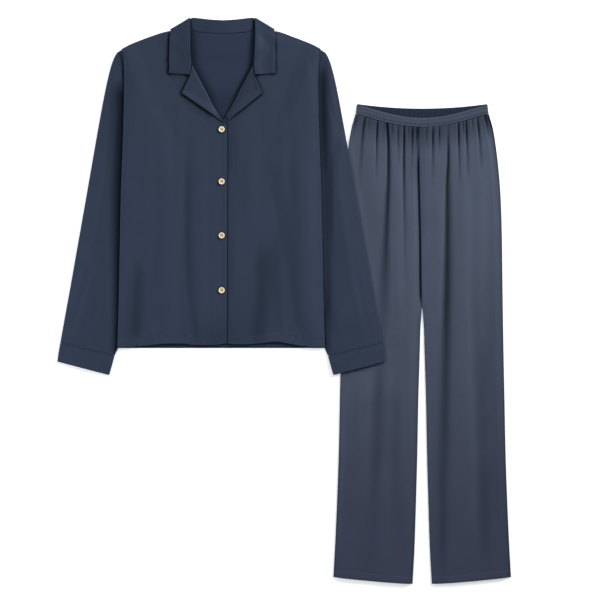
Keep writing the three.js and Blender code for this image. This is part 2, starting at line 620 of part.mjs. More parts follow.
// Waistband: a flattened elastic ring, front over back, with wrinkles across the front.
function waistband() {
  const half = bandThickness / 2;
  const backMiddle = half;
  const frontMiddle = backMiddle + bandThickness + seamGap + 0.5;
  const turn = (frontMiddle - backMiddle) / 2;
  const frontSteps = evenly(60, -1, 1);
  const backSteps = evenly(12, 1, -1);
  const ends = [60, 0, -60].map(THREE.MathUtils.degToRad);
  const ring = (level, offset) => {
    const reach = mix(seamHalf, waistHalf, level) - turn - half;
    const front = frontSteps.map((t) => {
      const wrinkle = 0.5 * (1 - Math.cos(t * 26 * Math.PI + 2 * Math.sin(7 * t))) * (1 - t ** 8);
      const up = mix(seamUp(Math.abs(t) * seamHalf), bandTopUp(Math.abs(t) * waistHalf), level);
      return new THREE.Vector3(t * reach, up, frontMiddle + wrinkle + offset);
    });
    const back = backSteps.map((t) => {
      const up = mix(backSeamUp(Math.abs(t) * waistHalf), backTopUp(Math.abs(t) * waistHalf), level);
      return new THREE.Vector3(t * reach, up, backMiddle - offset);
    });
    const end = (sign) => ends.map((angle) => {
      const share = (1 + Math.sin(angle)) / 2;
      const frontUp = mix(seamUp(seamHalf), bandTopUp(waistHalf), level);
      const backUp = mix(backSeamUp(waistHalf), backTopUp(waistHalf), level);
      return new THREE.Vector3(
        sign * (reach + (turn + offset) * Math.cos(angle)), mix(backUp, frontUp, share),
        (frontMiddle + backMiddle) / 2 + (turn + offset) * Math.sin(angle),
      );
    });
    return [...front, ...end(1), ...back, ...end(-1).reverse()];
  };
  const levels = [0, 0.5, 1];
  return wall(levels.map((level) => ring(level, half)), levels.map((level) => ring(level, -half)), true);
}

const shirt = new THREE.Group();
shirt.position.set(shirtPlace.x, shirtPlace.y, 0);
shirt.add(piece("shirt_back", backPanel(), colours.shirt, 0.5));
shirt.add(piece("collar", collar(), colours.shirt, 0.5));
for (const side of ["right", "left"]) {
  shirt.add(piece(`shirt_front_${side}`, frontPanel(side), colours.shirt, 0.5));
  shirt.add(piece(`lapel_${side}`, lapel(side), colours.shirt, 0.5));
  const sleeve = tube(side, sleeveSections, clothThickness, sleeveCrown);
  const cuff = tube(side, cuffSections, cuffThickness, cuffCrown);
  shirt.add(piece(`sleeve_${side}`, sleeve, colours.shirt, 0.5));
  shirt.add(piece(`cuff_${side}`, cuff, colours.shirt, 0.5));
}
buttonHeights.forEach((up, i) => {
  const mesh = piece(`button_${i + 1}`, buttonGeometry(), colours.button, 0.35);
  mesh.position.set(buttonOut, up, buttonSeat(up));
  shirt.add(mesh);
});

const trousers = new THREE.Group();
trousers.position.set(trousersPlace.x, trousersPlace.y, 0);
trousers.add(piece("waistband", waistband(), colours.trousers, 0.45));
for (const side of ["right", "left"]) {
  trousers.add(piece(`leg_front_${side}`, legFront(side), colours.trousers, 0.45));
  trousers.add(piece(`leg_back_${side}`, legBack(side), colours.trousers, 0.45));
}

const group = new THREE.Group();
group.add(shirt, trousers);

export default group;
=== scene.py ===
# Pyjama set laid flat: satin shirt with a camp collar, gathered satin trousers, resin buttons and
# the sewing on them. Shapes are worked out in millimetres on each garment's own half pattern
# ("out" from its centre line, "up" from its hem) and then put in the shared frame in metres.
# Right and left are the wearer's.
import math
import bpy
import numpy as np
from mathutils.bvhtree import BVHTree
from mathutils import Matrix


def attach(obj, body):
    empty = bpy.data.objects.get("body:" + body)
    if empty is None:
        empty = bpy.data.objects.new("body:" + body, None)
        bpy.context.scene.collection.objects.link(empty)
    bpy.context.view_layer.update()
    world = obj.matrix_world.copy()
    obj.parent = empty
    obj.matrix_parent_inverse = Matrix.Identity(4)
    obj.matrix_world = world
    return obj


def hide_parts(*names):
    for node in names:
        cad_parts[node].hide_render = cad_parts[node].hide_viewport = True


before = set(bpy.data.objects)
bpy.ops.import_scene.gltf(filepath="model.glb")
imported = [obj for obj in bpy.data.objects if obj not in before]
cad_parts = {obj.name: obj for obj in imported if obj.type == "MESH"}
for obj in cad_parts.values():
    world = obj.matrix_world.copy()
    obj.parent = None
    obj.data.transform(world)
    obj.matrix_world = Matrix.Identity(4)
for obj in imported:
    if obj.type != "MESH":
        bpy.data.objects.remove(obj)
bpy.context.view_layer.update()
mm = 0.001

layout = {
    "shirtAt": (-125.7, -94.9),      # centre of the shirt's hem
    "trousersAt": (275.9, -566.1),   # centre of the trousers' hems
    "neckShift": 2.8,                # neck lies this far towards the wearer's left
    "wall": 1.2,                     # cloth
    "seam": 0.3,                     # space between pieces
    "tubeGap": 0.4,                  # between a pressed sleeve's layers
}
wall = layout["wall"]
half = wall / 2
layer = wall + layout["seam"]
sides = {"right": -1, "left": 1}


# Numbers: ramps, bells and smooth curves through a table
def clamp(t):
    return np.clip(t, 0.0, 1.0)


def smooth(t):
    t = clamp(t)
    return t * t * (3 - 2 * t)


def mix(a, b, t):
    return a + (b - a) * t


def bell(t):
    return np.exp(-t * t)


# Cubic through the rows (key, value) with harmonic-mean slopes, so it never swings past them
def curveThrough(rows):
    keys, values = np.asarray(rows, float).T
    step = np.diff(values) / np.diff(keys)
    slope = np.concatenate([step[:1], np.zeros(len(step) - 1), step[-1:]])
    product = step[:-1] * step[1:]
    total = np.where(product > 0, step[:-1] + step[1:], 1)
    slope[1:-1] = np.where(product > 0, 2 * product / total, 0)

    def at(x):
        i = np.clip(np.searchsorted(keys, x, side="left") - 1, 0, len(keys) - 2)
        span = keys[i + 1] - keys[i]
        t = clamp((x - keys[i]) / span)
        return (values[i] * (1 + 2 * t) * (1 - t) ** 2 + slope[i] * span * t * (1 - t) ** 2
                + values[i + 1] * t * t * (3 - 2 * t) + slope[i + 1] * span * t * t * (t - 1))
    return at


# Rows of (key, value, value ...) as one such curve for each column of values
def curvesThrough(rows):
    return [curveThrough([(row[0], row[c]) for row in rows]) for c in range(1, len(rows[0]))]


# Points from their coordinates, each spread over the whole grid
def pointsOf(*coordinates):
    return np.stack(np.broadcast_arrays(*coordinates), axis=-1)


# Distance along a path of points, from 0 at its start
def lengthAlong(path):
    return np.concatenate([[0], np.cumsum(np.linalg.norm(np.diff(path, axis=0), axis=1))])


# Squares between the rows and columns of a grid of ids
def squares(ids):
    return np.stack([ids[..., :-1, :-1], ids[..., :-1, 1:], ids[..., 1:, 1:], ids[..., 1:, :-1]],
                    axis=-1).reshape(-1, 4)


# Places 0 to 1 along a length, crowded at both ends, with how full the wall is at each: its
# thickness there follows a quarter circle, so every raw edge turns over round
def edgeStops(length, step=None, thick=half, middle=None):
    near = thick * np.array([0, 0.1, 0.42, 1.0])
    if middle is None:
        middle = np.linspace(near[-1], length - near[-1], max(3, int(round(length / step))))
    at = np.concatenate([near[:-1], middle, length - near[-2::-1]])
    full = np.sqrt(1 - (1 - clamp(np.minimum(at, length - at) / thick)) ** 2)
    return at / length, full


# Fullness of a count of rows, of which the first and the last four turn over as such an edge
rawEdge = [0, 0.44, 0.81, 1]


def fullBetweenEdges(count):
    full = np.ones(count)
    full[:4] = full[:-5:-1] = rawEdge
    return full


# Closed wall between two grids of points. Both pull together to their middle where fullness is 0,
# and share their points there. In a ring the columns go all the way round.
# tone is a painted shade for each point, handed on to the mesh
def shell(name, outer, inner, full, uv, place, ring=False, tone=None, insideSlot=0):
    middle = (outer + inner) / 2
    outer = middle + (outer - middle) * full[..., None]
    inner = middle + (inner - middle) * full[..., None]
    rows, columns = outer.shape[:2]
    outerIds = np.arange(rows * columns).reshape(rows, columns)
    edge = np.zeros((rows, columns), bool)
    edge[[0, -1]] = True
    if not ring:
        edge[:, [0, -1]] = True
    innerIds = np.where(edge, outerIds, outerIds + rows * columns)
    if ring:
        outerIds = np.concatenate([outerIds, outerIds[:, :1]], axis=1)
        innerIds = np.concatenate([innerIds, innerIds[:, :1]], axis=1)

    faces = np.concatenate([squares(outerIds), squares(innerIds)[:, ::-1]])
    uvSquares = np.stack([uv[:-1, :-1], uv[:-1, 1:], uv[1:, 1:], uv[1:, :-1]], axis=2).reshape(-1, 4, 2)
    cornerUv = np.concatenate([uvSquares, uvSquares[:, ::-1]])
    slots = np.repeat([0, insideSlot], len(faces) // 2)
    points = np.concatenate([outer.reshape(-1, 3), inner.reshape(-1, 3)])
    points[:, :2] += place
    tones = None if tone is None else np.concatenate([tone.ravel(), tone.ravel()])
    return meshPiece(name, points, faces, cornerUv, slots, tones)


# Mesh from points in millimetres and quads, turned so that the faces point outwards
def meshPiece(name, points, faces, cornerUv=None, slots=None, tones=None):
    used, faces = np.unique(faces, return_inverse=True)
    faces = faces.reshape(-1, 4)
    points = points[used] * mm
    a, b, c, d = (points[faces[:, i]] for i in range(4))
    volume = np.einsum("ij,ij->", a, np.cross(b, c) + np.cross(c, d))
    if volume < 0:
        faces = faces[:, ::-1]
        cornerUv = None if cornerUv is None else cornerUv[:, ::-1]
    mesh = bpy.data.meshes.new(name)
    mesh.vertices.add(len(points))
    mesh.vertices.foreach_set("co", points.astype(np.float32).ravel())
    mesh.loops.add(faces.size)
    mesh.loops.foreach_set("vertex_index", faces.astype(np.int32).ravel())
    mesh.polygons.add(len(faces))
    mesh.polygons.foreach_set("loop_start", np.arange(0, faces.size, 4, dtype=np.int32))
    mesh.polygons.foreach_set("use_smooth", np.ones(len(faces), bool))
    if cornerUv is not None:
        mesh.uv_layers.new(name="cloth").data.foreach_set("uv", (cornerUv * mm).astype(np.float32).ravel())
    # tones: painted shade, kept as a point attribute that darkens the material's colour
    if tones is not None:
        mesh.attributes.new("paintedShadeAndRim", "FLOAT", "POINT").data.foreach_set(
            "value", tones[used].astype(np.float32))
    if slots is not None:
        mesh.polygons.foreach_set("material_index", slots.astype(np.int32))
    mesh.update(calc_edges=True)
    piece = bpy.data.objects.new(name, mesh)
    bpy.context.scene.collection.objects.link(piece)
    return piece


def meshPoints(mesh):
    points = np.empty(len(mesh.vertices) * 3, np.float32)
    mesh.vertices.foreach_get("co", points)
    return points.reshape(-1, 3).astype(float)


def meshCorners(mesh):
    corners = np.empty(len(mesh.loops), np.int32)
    mesh.loops.foreach_get("vertex_index", corners)
    return corners.reshape(-1, 4)


# Sewing and cloth alike ride on the one body and take the materials given
def dressPiece(piece, slotName, *materials):
    for material in materials:
        piece.data.materials.append(material)
    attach(piece, "root")
    return piece


# A piece that stands for a solid
def finishPiece(piece, node, slotName, *materials):
    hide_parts(node)
    return dressPiece(piece, slotName, *materials)


# Camera: straight above, 1.2 m of the table across the picture
cameraSet = {"lens": 100.0, "height": 3.3333, "at": (0.0317, 0.0011)}
cameraData = bpy.data.cameras.new("camera")
cameraData.lens = cameraSet["lens"]
cameraData.sensor_width = 36
camera = bpy.data.objects.new("camera", cameraData)
camera.location = (*cameraSet["at"], cameraSet["height"])
bpy.context.scene.collection.objects.link(camera)
bpy.context.scene.camera = camera
print("camera placed")


# Materials
def toLinear(hexColour):
    parts = [int(hexColour[i:i + 2], 16) / 255 for i in (1, 3, 5)]
    return tuple(v / 12.92 if v <= 0.04045 else ((v + 0.055) / 1.055) ** 2.4 for v in parts) + (1.0,)


def addNode(tree, kind, settings=None, links=None):
    node = tree.nodes.new(kind)
    for key, value in (settings or {}).items():
        if isinstance(key, int) or key in node.inputs:
            node.inputs[key].default_value = value
        else:
            setattr(node, key, value)
    for key, source in (links or {}).items():
        tree.links.new(source, node.inputs[key])
    return node


def newMaterial(name, sockets):
    material = bpy.data.materials.new(name)
    material.use_nodes = True
    tree = material.node_tree
    shader = tree.nodes["Principled BSDF"]
    for socket, value in sockets.items():
        shader.inputs[socket].default_value = value
    return material, tree, shader


# Colour that darkens to "deep" by the painted shade held in an attribute, most in the creases, and
# the relief of the threads
def clothSurface(tree, shader, toned, deep, threads, strength, relief):
    paintedShadeAndRim = addNode(tree, "ShaderNodeAttribute", {"attribute_name": "paintedShadeAndRim"})
    coloured = addNode(tree, "ShaderNodeMix", {"data_type": "RGBA", 7: toLinear(deep)},
                       {0: paintedShadeAndRim.outputs["Fac"], 6: toned.outputs["Vector"]})
    bump = addNode(tree, "ShaderNodeBump", {"Strength": strength, "Distance": relief * mm},
                   {"Height": threads.outputs["Fac"]})
    tree.links.new(coloured.outputs[2], shader.inputs["Base Color"])
    tree.links.new(bump.outputs["Normal"], shader.inputs["Normal"])
    return paintedShadeAndRim


# Polyester satin, woven with long floats of the warp on its face: a soft wide highlight, faint
# streaks along the warp and a painted shade deep in the folds. "high" and "low" are its colour at
# the top and the bottom of the garment: painted light, brighter up the trousers and down the
# shirt. "deep" is its colour under full painted shade.
satinLook = {
    "shirt": {"high": "#2e3644", "low": "#333c4c", "from": -0.1, "to": 0.56, "deep": "#060a10",
              "roughness": 0.5, "specular": 0.35, "sheen": 0.06},
    "trousers": {"high": "#484f5d", "low": "#3c4151", "from": -0.55, "to": 0.0, "deep": "#070a11",
                 "roughness": 0.45, "specular": 0.45, "sheen": 0.1},
    "float": (0.5, 7.0),    # mm, width and length of a streak; real floats are 0.1 mm wide, drawn
                            # five times as wide so that they show
    "slub": 45.0,           # mm, broad unevenness of the dye
    "relief": 0.12,         # mm, of the floats
    # painted shade also dims the reflection: its level where the shade is full
    "glossInPaintedShade": 0.06,    # specular level at the bottom of a crease
    "glossTint": "#a9bde6", "sheenTint": "#8fa0c8",
}


def satin(name, look):
    material, tree, shader = newMaterial(name, {
        "Roughness": look["roughness"], "IOR": 1.48, "Specular IOR Level": look["specular"],
        "Specular Tint": toLinear(satinLook["glossTint"]), "Sheen Weight": look["sheen"],
        "Sheen Roughness": 0.4, "Sheen Tint": toLinear(satinLook["sheenTint"])})
    uv = addNode(tree, "ShaderNodeUVMap", {"uv_map": "cloth"})
    place = addNode(tree, "ShaderNodeTexCoord")
    acrossWarp, alongWarp = (1 / (size * mm) for size in satinLook["float"])
    stretched = addNode(tree, "ShaderNodeMapping", {"Scale": (acrossWarp, alongWarp, 1)},
                        {"Vector": uv.outputs["UV"]})
    floats = addNode(tree, "ShaderNodeTexNoise", {"Scale": 1.0, "Detail": 2.0, "Roughness": 0.6},
                     {"Vector": stretched.outputs["Vector"]})
    dye = addNode(tree, "ShaderNodeTexNoise", {"Scale": 1 / (satinLook["slub"] * mm), "Detail": 2.0},
                  {"Vector": place.outputs["Object"]})
    parts = addNode(tree, "ShaderNodeSeparateXYZ", None, {"Vector": place.outputs["Object"]})
    # painted light: the colour runs from "low" at the bottom to "high" at the top
    height = addNode(tree, "ShaderNodeMapRange",
                     {"interpolation_type": "SMOOTHSTEP", "From Min": look["from"], "From Max": look["to"]},
                     {"Value": parts.outputs["Y"]})
    body = addNode(tree, "ShaderNodeMix", {"data_type": "RGBA", 6: toLinear(look["low"]),
                                           7: toLinear(look["high"])},
                   {0: height.outputs["Result"]})
    unevenness = addNode(tree, "ShaderNodeMapRange", {"To Min": 0.93, "To Max": 1.07},
                         {"Value": dye.outputs["Fac"]})
    streak = addNode(tree, "ShaderNodeMapRange", {"To Min": 0.9, "To Max": 1.1},
                     {"Value": floats.outputs["Fac"]})
    tone = addNode(tree, "ShaderNodeMath", {"operation": "MULTIPLY"},
                   {0: unevenness.outputs["Result"], 1: streak.outputs["Result"]})
    toned = addNode(tree, "ShaderNodeVectorMath", {"operation": "SCALE"},
                    {0: body.outputs[2], "Scale": tone.outputs["Value"]})
    paintedShadeAndRim = clothSurface(tree, shader, toned, look["deep"], floats, 0.25, satinLook["relief"])
    # painted shade: less reflection where the cloth is shaded
    gloss = addNode(tree, "ShaderNodeMapRange",
                    {"To Min": look["specular"], "To Max": satinLook["glossInPaintedShade"]},
                    {"Value": paintedShadeAndRim.outputs["Fac"]})
    tree.links.new(gloss.outputs["Result"], shader.inputs["Specular IOR Level"])
    return material


# Reverse of the satin, where the weft shows: dull, darker and a little pebbled. "deep" is its
# colour under full painted shade.
reverseLook = {"colour": "#2a3343", "deep": "#060a10", "roughness": 0.7,
               "grain": 0.8, "relief": 0.15}                       # mm


def satinReverse(name):
    material, tree, shader = newMaterial(name, {
        "Roughness": reverseLook["roughness"], "IOR": 1.45, "Specular IOR Level": 0.3,
        "Specular Tint": toLinear(satinLook["glossTint"])})
    uv = addNode(tree, "ShaderNodeUVMap", {"uv_map": "cloth"})
    grain = addNode(tree, "ShaderNodeTexNoise", {"Scale": 1 / (reverseLook["grain"] * mm), "Detail": 2.0},
                    {"Vector": uv.outputs["UV"]})
    tone = addNode(tree, "ShaderNodeMapRange", {"To Min": 0.85, "To Max": 1.15},
                   {"Value": grain.outputs["Fac"]})
    toned = addNode(tree, "ShaderNodeVectorMath",
                    {"operation": "SCALE", 0: toLinear(reverseLook["colour"])[:3]},
                    {"Scale": tone.outputs["Result"]})
    clothSurface(tree, shader, toned, reverseLook["deep"], grain, 0.3, reverseLook["relief"])
    return material


# Polyester resin cast in a sheet and turned: a polished cream rim round a tan middle
resinLook = {"rim": "#fff4d2", "middle": "#dcb27c", "roughness": 0.3,
             "swirl": 2.5}      # mm


def buttonResin():
    material, tree, shader = newMaterial("buttonResin", {
        "Roughness": resinLook["roughness"], "IOR": 1.55, "Subsurface Weight": 0.1,
        "Subsurface Radius": (0.002, 0.0015, 0.001), "Coat Weight": 0.2})
    ring = addNode(tree, "ShaderNodeAttribute", {"attribute_name": "paintedShadeAndRim"})
    place = addNode(tree, "ShaderNodeTexCoord")
    swirl = addNode(tree, "ShaderNodeTexNoise",
                    {"Scale": 1 / (resinLook["swirl"] * mm), "Detail": 3.0, "Distortion": 0.8},
                    {"Vector": place.outputs["Object"]})
    cloud = addNode(tree, "ShaderNodeMapRange", {"To Min": 0.9, "To Max": 1.06},
                    {"Value": swirl.outputs["Fac"]})
    blend = addNode(tree, "ShaderNodeMix", {"data_type": "RGBA", 6: toLinear(resinLook["middle"]),
                                            7: toLinear(resinLook["rim"])},
                    {0: ring.outputs["Fac"]})
    toned = addNode(tree, "ShaderNodeVectorMath", {"operation": "SCALE"},
                    {0: blend.outputs[2], "Scale": cloud.outputs["Result"]})
    tree.links.new(toned.outputs["Vector"], shader.inputs["Base Color"])
    return material


# Spun polyester thread: matt, with a fine twist along it, half a millimetre long
def sewingThread(name, colour):
    material, tree, shader = newMaterial(name, {"Roughness": 0.7})
    uv = addNode(tree, "ShaderNodeUVMap", {"uv_map": "cloth"})
    twist = addNode(tree, "ShaderNodeTexWave", {"Scale": 1 / (0.5 * mm), "wave_type": "BANDS",
                                                "bands_direction": "DIAGONAL"},
                    {"Vector": uv.outputs["UV"]})
    shade = addNode(tree, "ShaderNodeMapRange", {"To Min": 0.75, "To Max": 1.15},
                    {"Value": twist.outputs["Fac"]})
    toned = addNode(tree, "ShaderNodeVectorMath", {"operation": "SCALE", 0: toLinear(colour)[:3]},
                    {"Scale": shade.outputs["Result"]})
    tree.links.new(toned.outputs["Vector"], shader.inputs["Base Color"])
    return material


shirtSatin = satin("shirtSatin", satinLook["shirt"])
trouserSatin = satin("trouserSatin", satinLook["trousers"])
shirtReverse = satinReverse("shirtSatinReverse")
trouserReverse = satinReverse("trouserSatinReverse")
resin = buttonResin()
shirtThread = sewingThread("shirtThread", "#465069")
trouserThread = sewingThread("trouserThread", "#596176")
buttonThread = sewingThread("buttonThread", "#d9c79d")
print("materials made")


# Shirt: outlines on the half pattern, as (up, out) unless the comment says otherwise
shirtLines = {
    "side": [(0, 207.4), (96, 204.6), (296, 200.6), (446, 195.4), (532, 193.6), (566, 195.4),
             (584, 199.5), (594, 204)],
    "shoulder": [(0, 700), (63.7, 657.4), (103, 633.6), (112.6, 632), (142.6, 622.2), (182.6, 606),
                 (204, 594)],                                      # (out, up)
    "roll": [(452, 0), (459, 3.2), (487.6, 20.6), (517.4, 35.6), (542.4, 48.8), (565.6, 60.4),
             (578, 63.8), (656, 66)],
    "tuck": [(-60, 220), (-16, 211.4), (88, 188), (204, 164), (308, 144), (372, 132), (428, 138),
             (470, 155), (510, 170), (550, 185.5), (594, 202)],
}
frontLook = {
    "opening": {
        "right": [(0, -8.6), (438, -8.6), (451, -6.6), (459, 3.5), (464, 8.8), (487.6, 23.4),
                  (517.4, 38.4), (542.4, 52.2), (565.6, 64.6), (578, 67), (656, 67.4)],
        "left": [(0, -14.2), (428, -14.2), (446, -9.6), (456, 0.4), (464, 8.8), (487.6, 23.4),
                 (517.4, 38.4), (542.4, 52.2), (565.6, 64.6), (578, 67), (656, 67.4)],
    },
    "hemWave": {                                                   # (out, rise above the back)
        "right": [(-9, 10.4), (17, 6), (60, 6.4), (78, 9.2), (107, 9.2), (155, 4.4), (208, 0.8)],
        "left": [(-15, 8.8), (43, 7.4), (77, 9.8), (107, 13), (139, 8.2), (163, 4.2), (208, 1.2)],
    },
    "length": 650, "width": 205,
    "hemDepth": 15.0,       # turned up and stitched
    "hemFlare": 0.5,
    "neckSpace": 2.7,       # the pressed cloth stands this far off the back beside the neck,
    "pressedSpace": 0.8,    # this far elsewhere,
    "seamSpace": 0.3,       # this far more away from the seams,
    "openestGap": 3.6,      # and never further than this
    "overlapStep": 1.6,     # the right front rises by this over the left one's edge
    "looseRise": 1.9,       # a loose panel stands this high over the pressed cloth
    "edgeBead": 1.1,        # the opening's edge, thick from its turned-in cloth
    "valleyShade": 0.34, "edgeShade": 0.8, "pinchShade": 0.36,
    "lapelShade": {"right": 0.62, "left": 0.45},
}
# Folds pressed into the fronts: x, low and high end, half width, height
pressedFolds = [(-110, 40, 460, 24, 0.9), (-68, 60, 440, 11, -0.7), (-42, 30, 430, 15, 0.6),
                (-158, 20, 180, 16, -0.5), (60, 250, 420, 20, 0.4), (92, 20, 240, 30, -0.5),
                (160, 30, 420, 22, 0.8)]
# Loose folds over them: x at the low and the high end, low and high end, half width, height, bow
looseFolds = [
    (-44, -69, -60, 450, 12, -1.7, -7), (-112, -108, -30, 480, 18, 2.2, 3), (-38, -42, 20, 430, 13, 0.9, -4),
    (-176, -164, -10, 200, 15, -1.8, 2), (-150, -146, 160, 540, 16, 0.9, 3), (-86, -84, 240, 540, 9, 0.6, 2),
    (-20, -18, 300, 440, 6, -0.6, 1), (26, 22, 330, 455, 7, -1.2, 3), (56, 60, 200, 480, 15, 1.4, 2),
    (70, 84, -30, 245, 19, -2.0, 5), (118, 112, 0, 270, 13, -1.2, -4), (166, 160, -30, 450, 17, 2.4, 4),
    (98, 104, 300, 570, 14, 0.9, -3), (140, 132, 250, 530, 11, -0.7, 3), (181, 181, 540, 596, 3, -0.9, 0),
    (26, 36, 20, 250, 10, 1.0, 3),
]
# Broad soft shades of the fronts: x, up, half width, half height, shade
softShades = [(-172, 46, 30, 90, 0.15), (-69, 190, 12, 150, 0.12), (-10, 18, 56, 42, 0.2),
              (58, 60, 54, 125, 0.1)]
sideOut = curveThrough(shirtLines["side"])
shoulderUp = curveThrough(shirtLines["shoulder"])
rollOut = curveThrough(shirtLines["roll"])
tuckOut = curveThrough(shirtLines["tuck"])
openingOut = {side: curveThrough(rows) for side, rows in frontLook["opening"].items()}
hemRise = {side: curveThrough(rows) for side, rows in frontLook["hemWave"].items()}
shoulderOut = 204.0
shoulderTip = 594.0
neckPoint = 655.6


# x of a place on the half pattern: the neck is shifted sideways, the side seams aren't
def across(side, out):
    return sides[side] * out + layout["neckShift"] * smooth((150 - out) / 60)


# Height of the back's underside: 0 on the table, a ramp up over each tucked sleeve and another
# over the collar's fall
def backUnder(out, up):
    tuckRise = 2 * wall + layout["tubeGap"] + 0.4
    overSleeve = tuckRise * smooth((out - tuckOut(up) + 46) / 40)
    fallEdge = 609 + 26 * (np.minimum(out, 101) / 101) ** 4
    overFall = layer * smooth((up - fallEdge + 42) / 26) * smooth((130 - out) / 24)
    return np.maximum(overSleeve, overFall)


# Space between the back and a front: highest beside the open neck, plus a bell across each
# pressed fold, down to nothing at the seams
def skin(x, out, up):
    look = frontLook
    belowShoulder = shoulderUp(np.maximum(out, 64)) - up
    neck = (look["neckSpace"] * smooth(belowShoulder / 55) * (1 - smooth((out - rollOut(up)) / 95))
            * smooth((up - 425) / 62))
    folds = sum(height * bell((x - at) / width) * smooth((up - low) / 60) * smooth((high - up) / 90)
                for at, low, high, width, height in pressedFolds)
    edge = smooth((sideOut(up) - out) / 16) * smooth(belowShoulder / 16)
    elsewhere = (look["pressedSpace"] + folds) * edge * smooth((out - 10) / 30)
    return np.maximum(neck, elsewhere + look["seamSpace"] * edge)


# Loose folds: each is a bell across a path that bows sideways, fading at both ends, never below
# the pressed cloth
def looseHeight(x, out, up):
    total = frontLook["looseRise"]
    for xLow, xHigh, low, high, width, height, bow in looseFolds:
        t = (up - low) / (high - low)
        path = mix(xLow, xHigh, clamp(t)) + bow * np.sin(math.pi * clamp(t)) ** 2
        total = total + height * bell((x - path) / width) * smooth(t * 4) * smooth((1 - t) * 3.2)
    belowShoulder = shoulderUp(np.maximum(out, 64)) - up
    edge = smooth((sideOut(up) - out) / 26) * smooth(belowShoulder / 60)
    return np.maximum(total, 0) * edge * smooth((np.abs(x) - 4) / 30)


# Height of a front's underside: the back's, a wall, the space between them and the loose folds
def frontUnder(side, out, up):
    x = across(side, out)
    overlap = 0.0
    if side == "right":
        overlap = frontLook["overlapStep"] * smooth((x + 30) / 15) * (1 - smooth((up - 463) / 26))
    gap = np.minimum(frontLook["openestGap"], skin(x, out, up) + overlap)
    return backUnder(out, up) + layer + gap + looseHeight(x, out, up)


def frontTop(side, out, up):
    return frontUnder(side, out, up) + wall


# Point of a front on the half pattern: u from side seam to opening, v from hem to shoulder
def frontPattern(side, u, v):
    sideUp = v * shoulderTip
    edgeUp = v * neckPoint
    out = mix(sideOut(sideUp), openingOut[side](edgeUp), u)
    up = mix(sideUp, edgeUp, u)
    up = mix(up, shoulderUp(out), smooth((v - 0.8) / 0.2) ** 2)
    rise = hemRise[side](out)
    return out, np.maximum(up, mix(rise, up, smooth(v / 0.12)))


# Groove and puckers along a line of machine stitching: a bell-shaped dip with sine waves beside
# it that die out over "spread"
def stitchedLine(distance, along, depth, pucker, pitch, spread):
    wave = np.sin(2 * math.pi * along / pitch + 1.7 * np.sin(along / 23.0))
    return -depth * bell(distance / 0.9) + pucker * wave * bell(distance / spread)


# How shaded a front is: in the valleys between loose folds, in the soft shades, below the lapel's
# free edge and, on the left one, beside the upper front's edge with a pinch below the first button
def frontShade(side, x, out, up):
    look = frontLook
    valley = clamp((1.5 - looseHeight(x, out, up)) / 2.0)
    paintedShadeAndRim = look["valleyShade"] * valley * smooth((sideOut(up) - out) / 40) * smooth((np.abs(x) - 4) / 40)
    paintedShadeAndRim = paintedShadeAndRim * smooth((560 - up) / 80)
    for atX, atUp, wide, tall, dark in softShades:
        paintedShadeAndRim = paintedShadeAndRim + dark * bell((x - atX) / wide) * bell((up - atUp) / tall)
    freeEdge = np.array(lapelLook[side])[:1:-1, 1:]
    belowLapel = np.interp(out, *freeEdge.T) - up
    paintedShadeAndRim = np.maximum(paintedShadeAndRim, look["lapelShade"][side] * bell((belowLapel - 1) / 4.2)
                        * smooth((freeEdge[-1, 0] + 4 - out) / 10))
    if side == "left":
        fromEdge = x - across("right", openingOut["right"](up))
        paintedShadeAndRim = np.maximum(paintedShadeAndRim, look["edgeShade"] * bell((fromEdge - 0.4) / 2.0)
                            * smooth((462 - up) / 16))
        pinch = (look["pinchShade"] * bell((fromEdge - 5) / 8) * smooth((up - 325) / 50)
                 * smooth((450 - up) / 40))
        paintedShadeAndRim = np.maximum(paintedShadeAndRim, pinch)
    return paintedShadeAndRim


# Front: the pattern's grid lifted to its underside's height, with the hem's stitched line and
# flare and the bead along the opening
def frontPanel(side):
    columnAt, columnFull = edgeStops(frontLook["width"], step=2.6)
    rowAt, rowFull = edgeStops(frontLook["length"], step=3.0)
    out, up = frontPattern(side, *np.meshgrid(columnAt, rowAt))
    x = across(side, out)
    under = frontUnder(side, out, up)
    aboveHem = up - hemRise[side](out)
    under = under + stitchedLine(aboveHem - frontLook["hemDepth"], x,
                                 depth=0.5, pucker=0.4, pitch=17.0, spread=4.0)
    under = under + frontLook["hemFlare"] * smooth(1 - aboveHem / 26) * np.sin(x / 21.0 + 0.4) ** 2
    edgeAt = out - openingOut[side](up)
    under = under + frontLook["edgeBead"] * bell((edgeAt - 1.5) / 1.5) * smooth((460 - up) / 12)
    bottom = pointsOf(x, up, under)
    return shell(f"frontCloth_{side}", bottom + [0, 0, wall], bottom, np.outer(rowFull, columnFull),
                 pointsOf(x, up), layout["shirtAt"], tone=frontShade(side, x, out, up), insideSlot=1)


